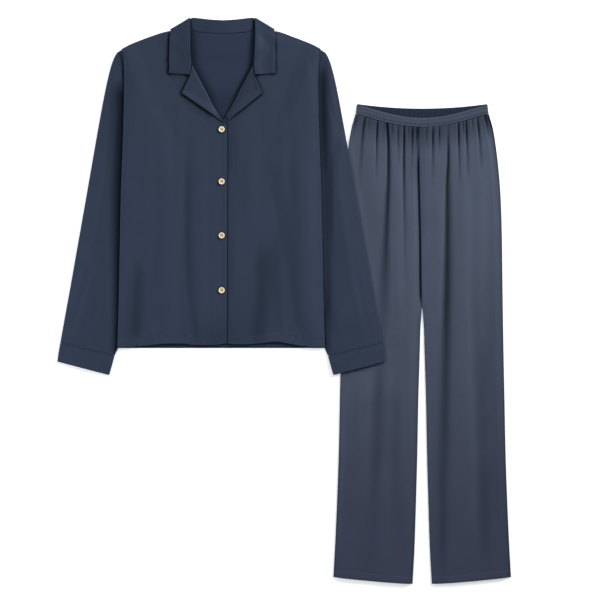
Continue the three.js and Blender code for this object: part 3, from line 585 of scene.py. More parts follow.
# Collar: stations of one half, from its front end to the centre back. out and up place the roll,
# turn is the fall's direction, tilt how far the strip has rolled over the shoulder.
collarLook = {
    "stations": [                       # out, up, turn, tilt, fall, stand
        (65.2, 545.8, 4, 0, 41.6, 0.8), (62.4, 565, -3, 0, 43.5, 0.8), (63.8, 584, -9, 0, 43, 0.8),
        (64.6, 606, -15, 0, 42.6, 0.8), (65.2, 628, -21, 0, 43, 0.8), (64.8, 645, -26, 0, 44.6, 0.8),
        (63.9, 656, -30, 0, 46, 0.8), (63.5, 657.8, -31, 45, 46, 0.8), (63.3, 657.4, -31, 90, 46, 0.8),
        (63.3, 657.4, -31, 135, 46, 0.8), (63.2, 658.2, -33, 180, 46, 1.6), (61.5, 660.0, -58, 180, 46, 6.4),
        (59.5, 660.6, -74, 180, 46, 14.6), (56, 660.3, -82, 180, 46, 22.4), (47, 659.4, -87, 180, 46, 26.2),
        (24, 656.8, -90, 180, 46, 25.8), (0, 655.4, -90, 180, 46, 25.6)],
    "foldRadius": layer / 2,
    "edgeLift": 2.2,                    # the fall's free edge stands off the front
    "shade": (0.15, 0.03),              # on the wearer's right and left
}
foldInset = collarLook["foldRadius"] + half
collarCurves = curvesThrough([(i, *row) for i, row in enumerate(collarLook["stations"])])


# Where the stand is sewn to the neck at a station: its reach from the roll, turned
def standEdge(row):
    out, up, turn, *_, stand = row
    reach = foldInset + stand
    angle = math.radians(turn)
    return max(0, out + math.cos(angle) * reach), up + math.sin(angle) * reach


# Collar half: stand, half-circle fold and fall as a strip carried along the stations and rolled
# about the shoulder by its tilt
def collarHalf(side, stops):
    out, up, turn, tilt, fall, stand = (column(stops)[:, None] for column in collarCurves)
    turn, tilt = np.radians(turn), np.radians(tilt)
    outwards = math.radians(-31 + 90)
    onFront = stops[:, None] <= 6
    settle = np.where(onFront, smooth((656 - up) / 34), 0)
    low = layer
    pileMiddle = 2 * layer + half
    standAt, standFull = edgeStops(26, step=2.4)
    standAt, standFull = standAt[: len(standAt) - 3], standFull[: len(standFull) - 3]
    fallAt, fallFull = edgeStops(44, step=2.0)
    fallAt, fallFull = fallAt[3:], fallFull[3:]
    angles = np.radians(np.linspace(-75, 75, 7))
    full = np.concatenate([standFull, np.ones(7), fallFull])

    def line(offsetStand, offsetFall, radius):
        reach = np.concatenate([foldInset + stand * (1 - standAt),
                                foldInset - radius * np.cos(angles) + 0 * stand,
                                mix(foldInset, fall, fallAt)], axis=1)
        offset = np.concatenate([np.full(len(standAt), offsetStand),
                                 low + collarLook["foldRadius"] + radius * np.sin(angles),
                                 np.full(len(fallAt), offsetFall)]) + 0 * reach
        atOut = out + np.cos(turn) * reach
        atUp = up + np.sin(turn) * reach
        onTop = frontTop(side, np.maximum(atOut, 62), np.minimum(atUp, 657))
        rise = np.where(onFront, onTop - (2 * layer + wall) + 0.3 * settle, 0)
        isFall = np.concatenate([np.zeros(len(standAt)), np.zeros(7), np.ones(len(fallAt))])
        drop = layer * settle * smooth((reach - 5) / 14) * isFall
        lift = np.where(onFront, collarLook["edgeLift"] * smooth((reach - 26) / 16) * settle, 0)
        roll = offset * np.sin(tilt)
        return pointsOf(across(side, np.maximum(0, atOut + roll * math.cos(outwards))),
                        atUp + roll * math.sin(outwards),
                        pileMiddle + offset * np.cos(tilt) + rise - drop + lift)

    radius = collarLook["foldRadius"]
    outer = line(low - half, low + layer + half, radius + half)
    inner = line(low + half, low + layer - half, radius - half)
    return outer, inner, full


# Collar: both halves as one strip that meets at the centre back
def collarPiece():
    stops = np.concatenate([[0, 0.004, 0.016, 0.04], np.linspace(0.1, 6, 44), np.linspace(6.05, 10, 30),
                            np.linspace(10.1, 16, 56)])
    outerRight, innerRight, full = collarHalf("right", stops)
    outerLeft, innerLeft, full = collarHalf("left", stops)
    outer = np.concatenate([outerRight, outerLeft[-2::-1]])
    inner = np.concatenate([innerRight, innerLeft[-2::-1]])
    uv = pointsOf(lengthAlong(outer[:, -8])[:, None], lengthAlong(outer[len(outer) // 2])[None, :])
    towardsLeft = smooth(0.5 + outer[..., 0] / 60)
    return shell("collarCloth", outer, inner, np.outer(fullBetweenEdges(len(outer)), full), uv,
                 layout["shirtAt"], tone=mix(*collarLook["shade"], towardsLeft))


# Back panel: rows from the hem to the top, which is the lower of the collar's seam and the
# shoulder seams, and columns as shares of the width, dense at the neck. It is shaded beside the
# roll and at the bottom of the neck opening.
backShade = {"right": 0.6, "left": 0.8, "reachRight": 13, "reachLeft": 7, "neckBottom": 0.28}


def backPanel():
    seam = [standEdge(row) for row in collarLook["stations"] if row[3] == 180][::-1]
    neckUp = curveThrough([*seam, (66.6, 700)])
    shareAt = np.unique(np.concatenate([np.linspace(0, 0.18, 11), np.linspace(0.18, 0.36, 28)[:-1],
                                        edgeStops(shoulderOut, 3.4)[0][-45:]]))
    isRight = np.arange(2 * len(shareAt) - 1) < len(shareAt) - 1
    share = np.concatenate([shareAt[:0:-1], shareAt])
    rowAt, rowFull = edgeStops(frontLook["length"], step=5.0)
    share, level = np.meshgrid(share, rowAt * shoulderTip)
    out = sideOut(level) * share
    top = np.minimum(neckUp(out - 1.2) - 0.4, shoulderUp(out))
    up = level / shoulderTip * mix(top, shoulderTip, share ** 24)
    x = np.where(isRight, across("right", out), across("left", out))
    bottom = pointsOf(x, up, backUnder(out, up))
    fromRoll = rollOut(up) - out
    reach = np.where(isRight, backShade["reachRight"], backShade["reachLeft"])
    paintedShadeAndRim = np.where(isRight, backShade["right"], backShade["left"]) * bell((fromRoll - 2) / reach)
    paintedShadeAndRim = paintedShadeAndRim * smooth((up - 470) / 60) * smooth((654 - up) / 20)
    neckBottom = smooth((534 - up) / 44) * smooth((up - 420) / 40) * smooth((60 - out) / 40)
    paintedShadeAndRim = paintedShadeAndRim + backShade["neckBottom"] * neckBottom
    full = np.outer(rowFull, fullBetweenEdges(len(isRight)))
    return shell("backCloth", bottom, bottom + [0, 0, wall], full, pointsOf(x, up), layout["shirtAt"],
                 tone=paintedShadeAndRim, insideSlot=1)


# Lapel: free edge as (roll, out, up) from the notch past the tip to the end of the roll
lapelLook = {
    "right": [(564.4, 64.1, 543.6), (546, 73, 526), (528, 81.4, 509), (512, 60, 494), (496, 39, 479.5),
              (480, 19, 466), (463, 1.5, 453)],
    "left": [(564.4, 64.2, 543.6), (546, 72.4, 526), (528, 79.6, 509.4), (512, 62, 495), (496, 45, 481),
             (480, 28, 468), (465, 12.5, 456)],
    "facing": 9.0,          # runs back beneath the front
    "tipLift": 2.4,
    "leftShade": (0.22, 0.08, 0.2),     # in the roll, on the facing, and more just past the roll
}


# Each row starts under the front, turns over its edge by half a circle and runs straight to the
# free edge, lifting over the last 16 mm
def lapelPiece(side):
    shape = np.array(lapelLook[side])
    first, end = shape[0, 0], shape[-1, 0]
    rolls = np.concatenate([[first, first - 0.1, first - 0.35, first - 0.9], np.linspace(first - 2, 528, 18),
                            np.linspace(526, end + 2, 32), [end + 0.9, end + 0.35, end + 0.1, end]])
    roll = rolls[:, None]
    tip = pointsOf(*(np.interp(-rolls, -shape[:, 0], shape[:, i]) for i in (1, 2)))
    start = pointsOf(rollOut(rolls), rolls)
    length = np.linalg.norm(tip - start, axis=1)[:, None]
    to = (tip - start) / length
    back = mix(2, lapelLook["facing"], smooth((roll - end) / 30) * smooth((first + 8 - roll) / 24))
    radius = layer
    inset = radius + half
    underAt = np.array([1, 0.985, 0.94, 0.86, 0.6, 0.3, 0])
    overAt, overFull = edgeStops(30, step=1.7)
    overAt, overFull = overAt[3:], overFull[3:]
    angles = np.radians(np.linspace(-75, 75, 7))

    def line(under, over, turn):
        reach = np.concatenate([inset + back * underAt, inset - turn * np.cos(angles) + 0 * roll,
                                mix(inset, length, overAt)], axis=1)
        offset = np.concatenate([np.full(7, under), turn * np.sin(angles), np.full(len(overAt), over)])
        out = start[:, :1] + to[:, :1] * reach
        up = start[:, 1:] + to[:, 1:] * reach
        lift = lapelLook["tipLift"] * smooth((reach - length + 16) / 16) * smooth((roll - end) / 26)
        isOver = np.concatenate([np.zeros(14), np.ones(len(overAt))])
        return pointsOf(across(side, out), up, frontUnder(side, out, up) + half + offset + lift * isOver)

    outer = line(-radius - half, radius + half, radius + half)
    inner = line(-radius + half, radius - half, radius - half)
    full = np.outer(fullBetweenEdges(len(rolls)), np.concatenate([rawEdge, np.ones(10), overFull]))
    inRoll, onFacing, pastRoll = lapelLook["leftShade"] if side == "left" else (0, 0, 0)
    tone = np.concatenate([np.full(14, inRoll), onFacing + pastRoll * bell(overAt / 0.4)]) + 0 * roll
    return shell(f"lapelCloth_{side}", outer, inner, full, outer[..., :2], layout["shirtAt"], tone=tone)


# Sleeves and cuffs: sections from the cuff seam to the armhole, outer and inner (out, up)
sleeveLook = {
    "sections": [(322, 10, 213.4, -16), (318, 32, 205.6, 4), (313, 60, 202, 34), (302.8, 116, 190, 88),
                 (292.2, 176, 178, 146), (281.6, 236, 166, 204), (271, 296, 155, 260), (261.6, 350, 146, 308),
                 (253.6, 396, 139, 346), (246.6, 436, 134, 372), (231.6, 516, 135, 402),
                 (222.4, 556, 137, 412), (214.6, 579, 139, 420), (204.6, 592.6, 140, 426),
                 (190, 584, 136, 424)],
    "cuffs": [(322, 9.7, 213.4, -16.3), (324.6, -5, 216.8, -29), (326.4, -16, 220.4, -42),
              (327.6, -27.2, 224, -54.2)],
    "crown": 4.6,
    "cuffCrown": 2.4,
    "seamCrown": 2.0,       # where the two meet
    "overTrousers": 3.4,    # rise of the left one's underside there
    "cuffWall": 1.4,
    "cuffSeam": 0.12, "cuffTopstitch": 0.84,    # rows of stitches, as shares of a cuff's depth
    "allover": 0.09,        # shade of the whole top
    "besideBody": 0.9,      # and of the right one beside the body
}
# Sleeve folds: place across (0 outer edge to 1 inner) at the cuff and at the armhole end, low and
# high end (0 cuff to 1 armhole), half width in mm, height
sleeveFolds = {
    "right": [(0.55, 0.42, 0.05, 0.75, 9, -1.2), (0.28, 0.22, 0.2, 0.95, 8, 0.9),
              (0.75, 0.55, 0.1, 0.6, 7, 0.8), (0.15, 0.3, 0.02, 0.3, 6, -0.6),
              (0.4, 0.3, 0.5, 1.0, 6, -0.9), (0.8, 0.7, 0.0, 0.25, 5, -0.6)],
    "left": [(0.6, 0.45, 0.1, 0.8, 10, -1.3), (0.35, 0.2, 0.1, 0.9, 8, 0.9),
             (0.8, 0.6, 0.05, 0.5, 7, 0.7), (0.2, 0.25, 0.0, 0.28, 6, -0.7),
             (0.3, 0.34, 0.55, 1.0, 6, -0.9), (0.7, 0.82, 0.02, 0.22, 5, -0.5),
             (0.16, 0.18, 0.74, 1.02, 3.5, -1.8)],
}
# A leg's side seam: (up, out)
legSide = [(0, 177.4), (67, 174.4), (167, 170), (267, 166.6), (367, 164.6), (467, 162.6), (587, 160.8),
           (687, 159.6), (747, 158), (787, 156), (827, 152.8), (867, 148.2), (907, 142), (940, 133)]
legOut = curveThrough(legSide)


# Height of a sleeve's underside: 0 on the table, a ramp up where the left one lies on the trousers
def sleeveUnder(side, x, up):
    if side == "right":
        return 0 * x
    upTrousers = up + layout["shirtAt"][1] - layout["trousersAt"][1]
    edge = layout["trousersAt"][0] - layout["shirtAt"][0] - legOut(upTrousers)
    return sleeveLook["overTrousers"] * smooth((x - edge + 34) / 22) * smooth((440 - up) / 35)


# How dark the left sleeve is beside the body, by height
shadowDepth = curveThrough([(-20, 0.5), (40, 0.5), (76, 0.65), (140, 0.52), (316, 0.52), (376, 0.64),
                            (436, 0.76), (500, 0.78), (540, 0.7), (566, 0.3), (590, 0)])


# Shade along the body, a bell across the sleeve's inner edge
def sleeveShade(side, fromBody, up):
    if side == "right":
        reach = mix(11, 22, smooth(up / 430))
        tone = sleeveLook["besideBody"] * bell(np.maximum(0, fromBody) / reach) * smooth((552 - up) / 50)
    else:
        tone = shadowDepth(up) * bell((fromBody - mix(3, 10, smooth(up / 140))) / 11)
    return np.maximum(tone * smooth((up + 18) / 14), sleeveLook["allover"])


# Flattened tube: each section is a stadium between its two edge points, its top swelling by the
# crown away from the edges and from the body that presses on it, with a bell across each fold
def tubePiece(name, side, sections, thickness, crown, folds, step, seamAt):
    table = np.array(sections, float)
    length = lengthAlong(table[:, :2])
    rowAt, rowFull = edgeStops(length[-1], step, thickness / 2)
    share = rowAt[:, None]
    s = share * length[-1]
    outerOut, outerUp, innerOut, innerUp = (column(s) for column in
                                            curvesThrough(np.column_stack([length, table])))
    width = np.hypot(outerOut - innerOut, outerUp - innerUp)
    radius = thickness + layout["tubeGap"] / 2
    usualWidth = 110        # mm, for spacing the columns
    nearStops = radius * np.array([0.06, 0.25, 0.6, 1.0]) / usualWidth
    acrossAt = np.concatenate([nearStops, np.linspace(0.03, 0.97, 40), 1 - nearStops[::-1]])
    ringAt = np.concatenate([[0], acrossAt, [1], acrossAt[::-1]])
    isTop = np.concatenate([[0], np.ones(len(acrossAt)), [0], -np.ones(len(acrossAt))])

    def loop(inset, r):
        q = mix(inset / width, 1 - inset / width, ringAt)
        out = mix(outerOut, innerOut, q)
        up = mix(outerUp, innerUp, q)
        x = across(side, out)
        free = np.maximum(smooth((out - sideOut(up) - 8) / 24), smooth((-14 - up) / 16))
        nearest = np.minimum(ringAt, 1 - ringAt) * width
        swell = mix(sleeveLook["seamCrown"], crown, smooth(s / 70)) * free * smooth(nearest / 44) ** 0.7
        fold = 0 * q
        for atLow, atHigh, low, high, wide, height in folds:
            t = (share - low) / (high - low)
            offset = (ringAt - mix(atLow, atHigh, clamp(t))) * width
            fold = fold + height * bell(offset / wide) * smooth(t * 4) * smooth((1 - t) * 4)
        swell = np.maximum(0, swell + fold * free * smooth(nearest / 14))
        swell = swell + seamAt(s, ringAt * width) * free
        curl = np.sqrt(1 - (1 - clamp(nearest / radius)) ** 2)
        z = sleeveUnder(side, x, up) + radius + isTop * r * curl + np.where(isTop > 0, swell, 0)
        return pointsOf(x, up, z)

    full = np.outer(rowFull, np.ones(len(ringAt)))
    around = np.concatenate([ringAt[: len(acrossAt) + 2], 2 - ringAt[len(acrossAt) + 2:], [2]]) * usualWidth
    up = mix(outerUp, innerUp, ringAt)
    tone = sleeveShade(side, mix(outerOut, innerOut, ringAt) - sideOut(up), up) * (isTop >= 0)
    return shell(name, loop(0, radius), loop(thickness, radius - thickness), full,
                 pointsOf(around[None, :], s), layout["shirtAt"], ring=True, tone=tone, insideSlot=1)


# Sleeve: the tube with puckers beside the cuff's seam
def sleevePiece(side):
    def cuffGathers(s, along):
        return stitchedLine(s - 1.5, along, depth=0.1, pucker=0.3, pitch=11.0, spread=10.0)
    return tubePiece(f"sleeveCloth_{side}", side, sleeveLook["sections"], wall, sleeveLook["crown"],
                     sleeveFolds[side], 4.0, cuffGathers)


# Cuff: the tube with a stitched line near each end
def cuffPiece(side):
    def edgeStitch(s, along):
        return (stitchedLine(s - 5.0, along, depth=0.2, pucker=0.1, pitch=6.0, spread=4.0)
                + stitchedLine(s - 32.0, along, depth=0.2, pucker=0.1, pitch=6.5, spread=4.0))
    return tubePiece(f"cuffCloth_{side}", side, sleeveLook["cuffs"], sleeveLook["cuffWall"],
                     sleeveLook["cuffCrown"], [], 0.8, edgeStitch)


# Seam allowance: a thin strip pressed flat inside a seam, straight between rows of (x, y, z) along
# its two edges, so that no light shows through the seam. Its tone is a painted shade, the same all over.
allowanceReach = 5.0        # each side of the seam


def allowance(name, lowEdge, highEdge, thick, tone, slotName, satinMaterial):
    acrossAt = np.linspace(0, 1, 7)[None, :, None]
    bottom = mix(lowEdge[:, None], highEdge[:, None], acrossAt)
    full = np.ones(bottom.shape[:2])
    full[[0, -1]] = 0
    full[:, [0, -1]] = 0
    strip = shell(name, bottom + [0, 0, thick], bottom, full, bottom[..., :2], (0, 0),
                  tone=np.full(bottom.shape[:2], tone))
    return dressPiece(strip, slotName, satinMaterial)


# It follows the cuff's seam and reaches to each side along the sleeve
def cuffAllowance(side):
    t = np.linspace(0.03, 0.97, 24)
    outerOut, outerUp, innerOut, innerUp = sleeveLook["sections"][0]
    out, up = mix(outerOut, innerOut, t), mix(outerUp, innerUp, t)
    z = sleeveUnder(side, across(side, out), up) + sleeveLook["cuffWall"] + 0.03
    edges = [pointsOf(across(side, out + 0.24 * reach), up + 0.97 * reach, z) + [*layout["shirtAt"], 0]
             for reach in (-allowanceReach, allowanceReach)]
    # a light painted shade across the cuff's seam
    return allowance(f"cuffAllowance_{side}", *edges, thick=0.14, tone=0.2,
                     slotName="shirt_satin", satinMaterial=shirtSatin)


shirtPieces = {
    "shirt_back": finishPiece(backPanel(), "shirt_back", "shirt_satin", shirtSatin, shirtReverse),
    "collar": finishPiece(collarPiece(), "collar", "shirt_satin", shirtSatin)}
for side in sides:
    for node, build, materials in (
            (f"shirt_front_{side}", frontPanel, (shirtSatin, shirtReverse)),
            (f"lapel_{side}", lapelPiece, (shirtSatin,)),
            (f"sleeve_{side}", sleevePiece, (shirtSatin, shirtReverse)),
            (f"cuff_{side}", cuffPiece, (shirtSatin, shirtReverse))):
        shirtPieces[node] = finishPiece(build(side), node, "shirt_satin", *materials)
print("shirt made")


# Buttons: turned disc with a rounded rim and a dished middle, four holes bored through
buttonLook = {"radius": 6.0, "thickness": 2.4, "rim": 1.5, "edge": 0.9, "dish": 0.7, "hole": 0.75,
              "spread": 1.5,                            # of the holes from the middle
              "heights": [436.8, 332.6, 224.8, 115.4], "out": 1.0,
              "tanRadius": 3.3,
              "thread": 0.24, "strandsApart": 0.44, "threadRise": 0.45, "threadDive": 2.6}


# Profile as (radius, height), with a half ellipse for its edge, turned about the axis in 48 steps
def buttonBlank(centre, bottom):
    look = buttonLook
    rimMiddle, rimInside = look["radius"] - look["edge"], look["radius"] - look["rim"]
    dishTop = look["thickness"] - look["dish"]
    middle = look["thickness"] / 2
    edge = [(rimMiddle + look["edge"] * math.cos(a), middle + middle * math.sin(a))
            for a in np.radians(np.linspace(-90, 90, 9))]
    inner = [(rimInside, look["thickness"] - 0.12), (rimInside - 0.4, look["thickness"] - look["dish"] * 0.7),
             (rimInside - 0.9, dishTop), (0.02, dishTop)]
    profile = np.array([(0.02, 0), (rimMiddle * 0.6, 0), *edge, *inner])
    turn = np.radians(np.arange(0, 360, 7.5))
    ring = pointsOf(np.outer(profile[:, 0], np.cos(turn)), np.outer(profile[:, 0], np.sin(turn)),
                    profile[:, 1:]) + [*centre, bottom]
    points = np.concatenate([ring.reshape(-1, 3), [[*centre, bottom], [*centre, bottom + dishTop]]])
    rows, count = len(profile), len(turn)
    ids = np.arange(rows * count).reshape(rows, count)
    ids = np.concatenate([ids, ids[:, :1]], axis=1)
    faces = squares(ids).tolist()
    low, high = rows * count, rows * count + 1
    faces += [[low, b, a] for a, b in zip(ids[0, :-1].tolist(), ids[0, 1:].tolist())]
    faces += [[high, a, b] for a, b in zip(ids[-1, :-1].tolist(), ids[-1, 1:].tolist())]
    mesh = bpy.data.meshes.new("buttonBlank")
    mesh.from_pydata((points * mm).tolist(), [], faces)
    return mesh


# Four upright rods that bore the holes
def boringTool(centre, bottom):
    turn = np.radians(np.arange(0, 360, 20))
    spread, hole = buttonLook["spread"], buttonLook["hole"]
    points, faces = [], []
    for sx, sy in ((1, 1), (1, -1), (-1, 1), (-1, -1)):
        start = len(points)
        for z in (bottom - 1, bottom + 5):
            points += [(centre[0] + sx * spread + hole * math.cos(a),
                        centre[1] + sy * spread + hole * math.sin(a), z) for a in turn]
        n = len(turn)
        faces += [[start + i, start + (i + 1) % n, start + n + (i + 1) % n, start + n + i] for i in range(n)]
        faces += [list(range(start + n - 1, start - 1, -1)), list(range(start + n, start + 2 * n))]
    mesh = bpy.data.meshes.new("boringTool")
    mesh.from_pydata((np.array(points) * mm).tolist(), [], faces)
    return mesh


# A button rests on the highest cloth under it. The attribute that holds painted shade on the cloth
# is here 0 in the middle and 1 at the rim, for the resin's colour.
def buttonPiece(number, up):
    seatOut = layout["neckShift"] - buttonLook["out"] + np.array([-4.0, 0, 4])[:, None]
    seat = np.max(frontTop("right", seatOut + 0 * np.ones(3), up + np.array([-7.0, 0, 7]))) + 0.3
    centre = (layout["shirtAt"][0] + buttonLook["out"], layout["shirtAt"][1] + up)
    blank = bpy.data.objects.new("buttonBlank", buttonBlank(centre, seat))
    tool = bpy.data.objects.new("boringTool", boringTool(centre, seat))
    for thing in (blank, tool):
        bpy.context.scene.collection.objects.link(thing)
    bore = blank.modifiers.new("bore", "BOOLEAN")
    bore.operation, bore.solver, bore.object = "DIFFERENCE", "EXACT", tool
    depsgraph = bpy.context.evaluated_depsgraph_get()
    mesh = bpy.data.meshes.new_from_object(blank.evaluated_get(depsgraph))
    for thing in (blank, tool):
        bpy.data.objects.remove(thing)
    mesh.name = f"buttonDisc_{number}"
    reach = np.hypot(*(meshPoints(mesh)[:, :2] / mm - centre).T)
    share = smooth(reach - buttonLook["tanRadius"])
    mesh.attributes.new("paintedShadeAndRim", "FLOAT", "POINT").data.foreach_set("value", share.astype(np.float32))
    mesh.polygons.foreach_set("use_smooth", np.ones(len(mesh.polygons), bool))
    mesh.materials.clear()
    piece = bpy.data.objects.new(f"buttonDisc_{number}", mesh)
    bpy.context.scene.collection.objects.link(piece)
    finishPiece(piece, f"button_{number}", "button_resin", resin)
    return centre, seat


# Round threads: each row of points is one strand, swept by a circle that tapers at both ends
def threadMesh(name, strands, radius, material, slotName, sidesRound=6):
    strands = np.asarray(strands, float)
    tangent = np.gradient(strands, axis=1)
    tangent /= np.linalg.norm(tangent, axis=2, keepdims=True)
    sideways = np.cross(tangent, [0, 0, 1.0])
    sideways /= np.maximum(np.linalg.norm(sideways, axis=2, keepdims=True), 1e-9)
    upwards = np.cross(sideways, tangent)
    count, length = strands.shape[:2]
    taper = np.sqrt(1 - (2 * np.linspace(0, 1, length) - 1) ** 6 * 0.96)
    turn = 2 * math.pi * np.arange(sidesRound) / sidesRound
    ring = (strands[:, :, None] + radius * taper[None, :, None, None]
            * (sideways[:, :, None] * np.cos(turn)[:, None] + upwards[:, :, None] * np.sin(turn)[:, None]))
    ids = np.arange(count * length * sidesRound).reshape(count, length, sidesRound)
    ids = np.concatenate([ids, ids[:, :, :1]], axis=2)
    caps = [ids[:, end][:, [0, first + 1, first + 2, first + 3][::turned]]
            for end, turned in ((0, 1), (length - 1, -1)) for first in range(0, sidesRound - 2, 2)]
    faces = np.concatenate([squares(ids), *caps])
    twistUv = np.tile(np.arange(4)[None, :, None], (len(faces), 1, 2)) * 0.4
    return dressPiece(meshPiece(name, ring.reshape(-1, 3), faces, twistUv), slotName, material)


# Two doubled strands cross each button between its holes and dive into them, by a seventh power of
# the distance from its middle
def buttonStrands(centre, dishTop):
    look = buttonLook
    t = np.linspace(-1, 1, 13)
    return [pointsOf(centre[0] + sign * look["spread"] + shift * look["strandsApart"],
                     centre[1] + look["spread"] * t * 1.12,
                     dishTop + look["threadRise"] - look["threadDive"] * np.abs(t) ** 7)
            for sign in (-1, 1) for shift in (-0.5, 0.5)]


buttonDiscs = []
for number, up in enumerate(buttonLook["heights"], 1):
    centre, seat = buttonPiece(number, up)
    buttonTop = seat + buttonLook["thickness"]
    buttonDiscs.append((*centre, buttonLook["radius"], buttonTop))
    threadMesh(f"buttonThread_{number}", buttonStrands(centre, buttonTop - buttonLook["dish"]),
               buttonLook["thread"], buttonThread, "button_resin")
print("buttons made")


# Trousers: the leg's inner edge as (up, out). The last lines are top edges: height at the sides,
# sag at the centre and power of its curve.
trouserLines = {
    "inner": [(0, 19.2), (67, 15.5), (167, 12.2), (267, 9.5), (367, 7.6), (467, 4.6), (507, 3.5),
              (547, 0.9), (556, 0.15), (940, 0.15)],
    "waistHalf": 130.7,
    "seamHalf": 133.0,
    "legTop": 938.3,
    "hemDepth": 14.0,
    "hemRise": 13.4,        # of the hem at the side seam
    "backBand": 20,         # depth of the band behind
    "seam": (938.6, 25.6, 1.2),
    "bandTop": (956, 24.6, 1.4),
    "backTop": (959, 9, 1),
}
legIn = curveThrough(trouserLines["inner"])
seamHalf, waistHalf, legTop = (trouserLines[key] for key in ("seamHalf", "waistHalf", "legTop"))
# Gathers: place from the centre at the seam, reach downwards, depth, half width at the seam
gathers = {
    "right": [(4.6, 44, 1.3, 1.8), (14.7, 70, 1.9, 2.0), (24.0, 26, 0.9, 1.6), (33.0, 290, 3.0, 2.4),
              (46.7, 84, 1.5, 2.2), (59.9, 32, 1.5, 1.9), (76.0, 26, 1.0, 1.6), (88.2, 122, 2.5, 2.1),
              (104.0, 28, 1.0, 1.8), (113.0, 176, 1.9, 3.0), (128.0, 56, 1.5, 3.4)],
    "left": [(13.6, 38, 1.6, 1.8), (25.4, 116, 1.8, 2.3), (36.8, 54, 1.7, 2.0), (72.0, 130, 2.6, 2.1),
             (80.8, 30, 1.5, 1.7), (86.8, 122, 2.1, 2.3), (98.4, 26, 1.3, 1.7), (108.8, 116, 1.9, 2.5),
             (123.8, 46, 1.3, 2.2)],
}
# The one deep fold that runs from the waist to the hem on each leg: up, out, half width towards
# the centre, half width away from it, depth, shade
longFolds = {
    "right": [(0, 104, 20, 24, 0.5, 0.05), (36, 106, 20, 22, 0.5, 0.1), (86, 103, 15, 24, 0.6, 0.14),
              (146, 104, 18, 24, 0.8, 0.22), (206, 98, 13, 22, 1.0, 0.3), (266, 92.4, 14, 26, 1.1, 0.36),
              (346, 91.2, 16, 17, 1.3, 0.38), (416, 84.6, 10, 19, 1.6, 0.44),
              (486, 81, 10, 14, 1.8, 0.52), (586, 77, 12, 12, 2.2, 0.6), (686, 71.8, 7.2, 8.4, 2.8, 0.76),
              (766, 68.8, 6.2, 6.5, 3.0, 0.86), (806, 67.5, 5.2, 4.2, 3.2, 0.93),
              (846, 67.4, 4.8, 3.4, 3.4, 0.98), (880, 67.8, 3.4, 2.8, 3.2, 1),
              (908, 69.4, 2.8, 2.6, 2.6, 0.95), (940, 71.6, 2.6, 2.4, 2.0, 0.9)],
    "left": [(0, 38.5, 12, 12, 0.5, 0.06), (36, 39.8, 9, 9, 0.5, 0.14), (86, 40.4, 9, 11, 0.8, 0.33),
             (146, 41, 10, 12, 1.0, 0.4), (206, 41.2, 10.5, 12.5, 1.2, 0.52),
             (266, 42.6, 11.5, 12, 1.3, 0.58), (346, 44, 11.5, 11, 1.6, 0.66),
             (416, 45.2, 11.5, 10.5, 1.8, 0.7), (486, 46.4, 11, 10.5, 2.0, 0.76),
             (526, 46.8, 10, 10, 2.2, 0.8), (586, 48.8, 8, 9.5, 2.4, 0.82),
             (686, 49.6, 5.0, 8.6, 2.6, 0.84), (766, 50.2, 3.6, 6.8, 3.0, 0.88),
             (806, 50.8, 2.8, 5, 3.0, 0.94), (846, 52.7, 2.4, 3.6, 3.0, 0.98),
             (866, 52.7, 2.2, 3.2, 2.6, 0.9), (892, 52.5, 2.0, 2.4, 1.4, 0.5),
             (912, 52, 2.0, 2.4, 0.8, 0.15), (940, 52, 2.0, 2.4, 0.5, 0.1)],
}
longFoldAt = {side: curvesThrough(rows) for side, rows in longFolds.items()}
# Broad soft shades beside it: up, out, half width, shade
washes = {
    "right": [[(0, 40, 12, 0), (86, 40, 12, 0.05), (146, 43, 12, 0.12), (206, 50, 12, 0.1),
               (266, 54, 12, 0.13), (346, 50, 12, 0.13), (416, 50, 12, 0.04), (486, 50, 12, 0),
               (940, 50, 12, 0)]],
    "left": [[(0, 130, 16, 0.03), (36, 132, 16, 0.04), (86, 129, 20, 0.16), (146, 129, 20, 0.2),
              (206, 131, 20, 0.2), (266, 132, 18, 0.15), (346, 130, 18, 0.15), (416, 126, 22, 0.12),
              (486, 136, 22, 0.08), (566, 108, 40, 0.04), (640, 120, 40, 0), (940, 120, 40, 0)],
             [(0, 110, 70, 0.05), (86, 110, 70, 0.06), (206, 110, 70, 0.08), (416, 110, 70, 0.12),
              (566, 110, 70, 0.12), (740, 110, 60, 0.08), (860, 110, 50, 0), (940, 110, 50, 0)]],
}
washAt = {side: [curvesThrough(rows) for rows in tables] for side, tables in washes.items()}
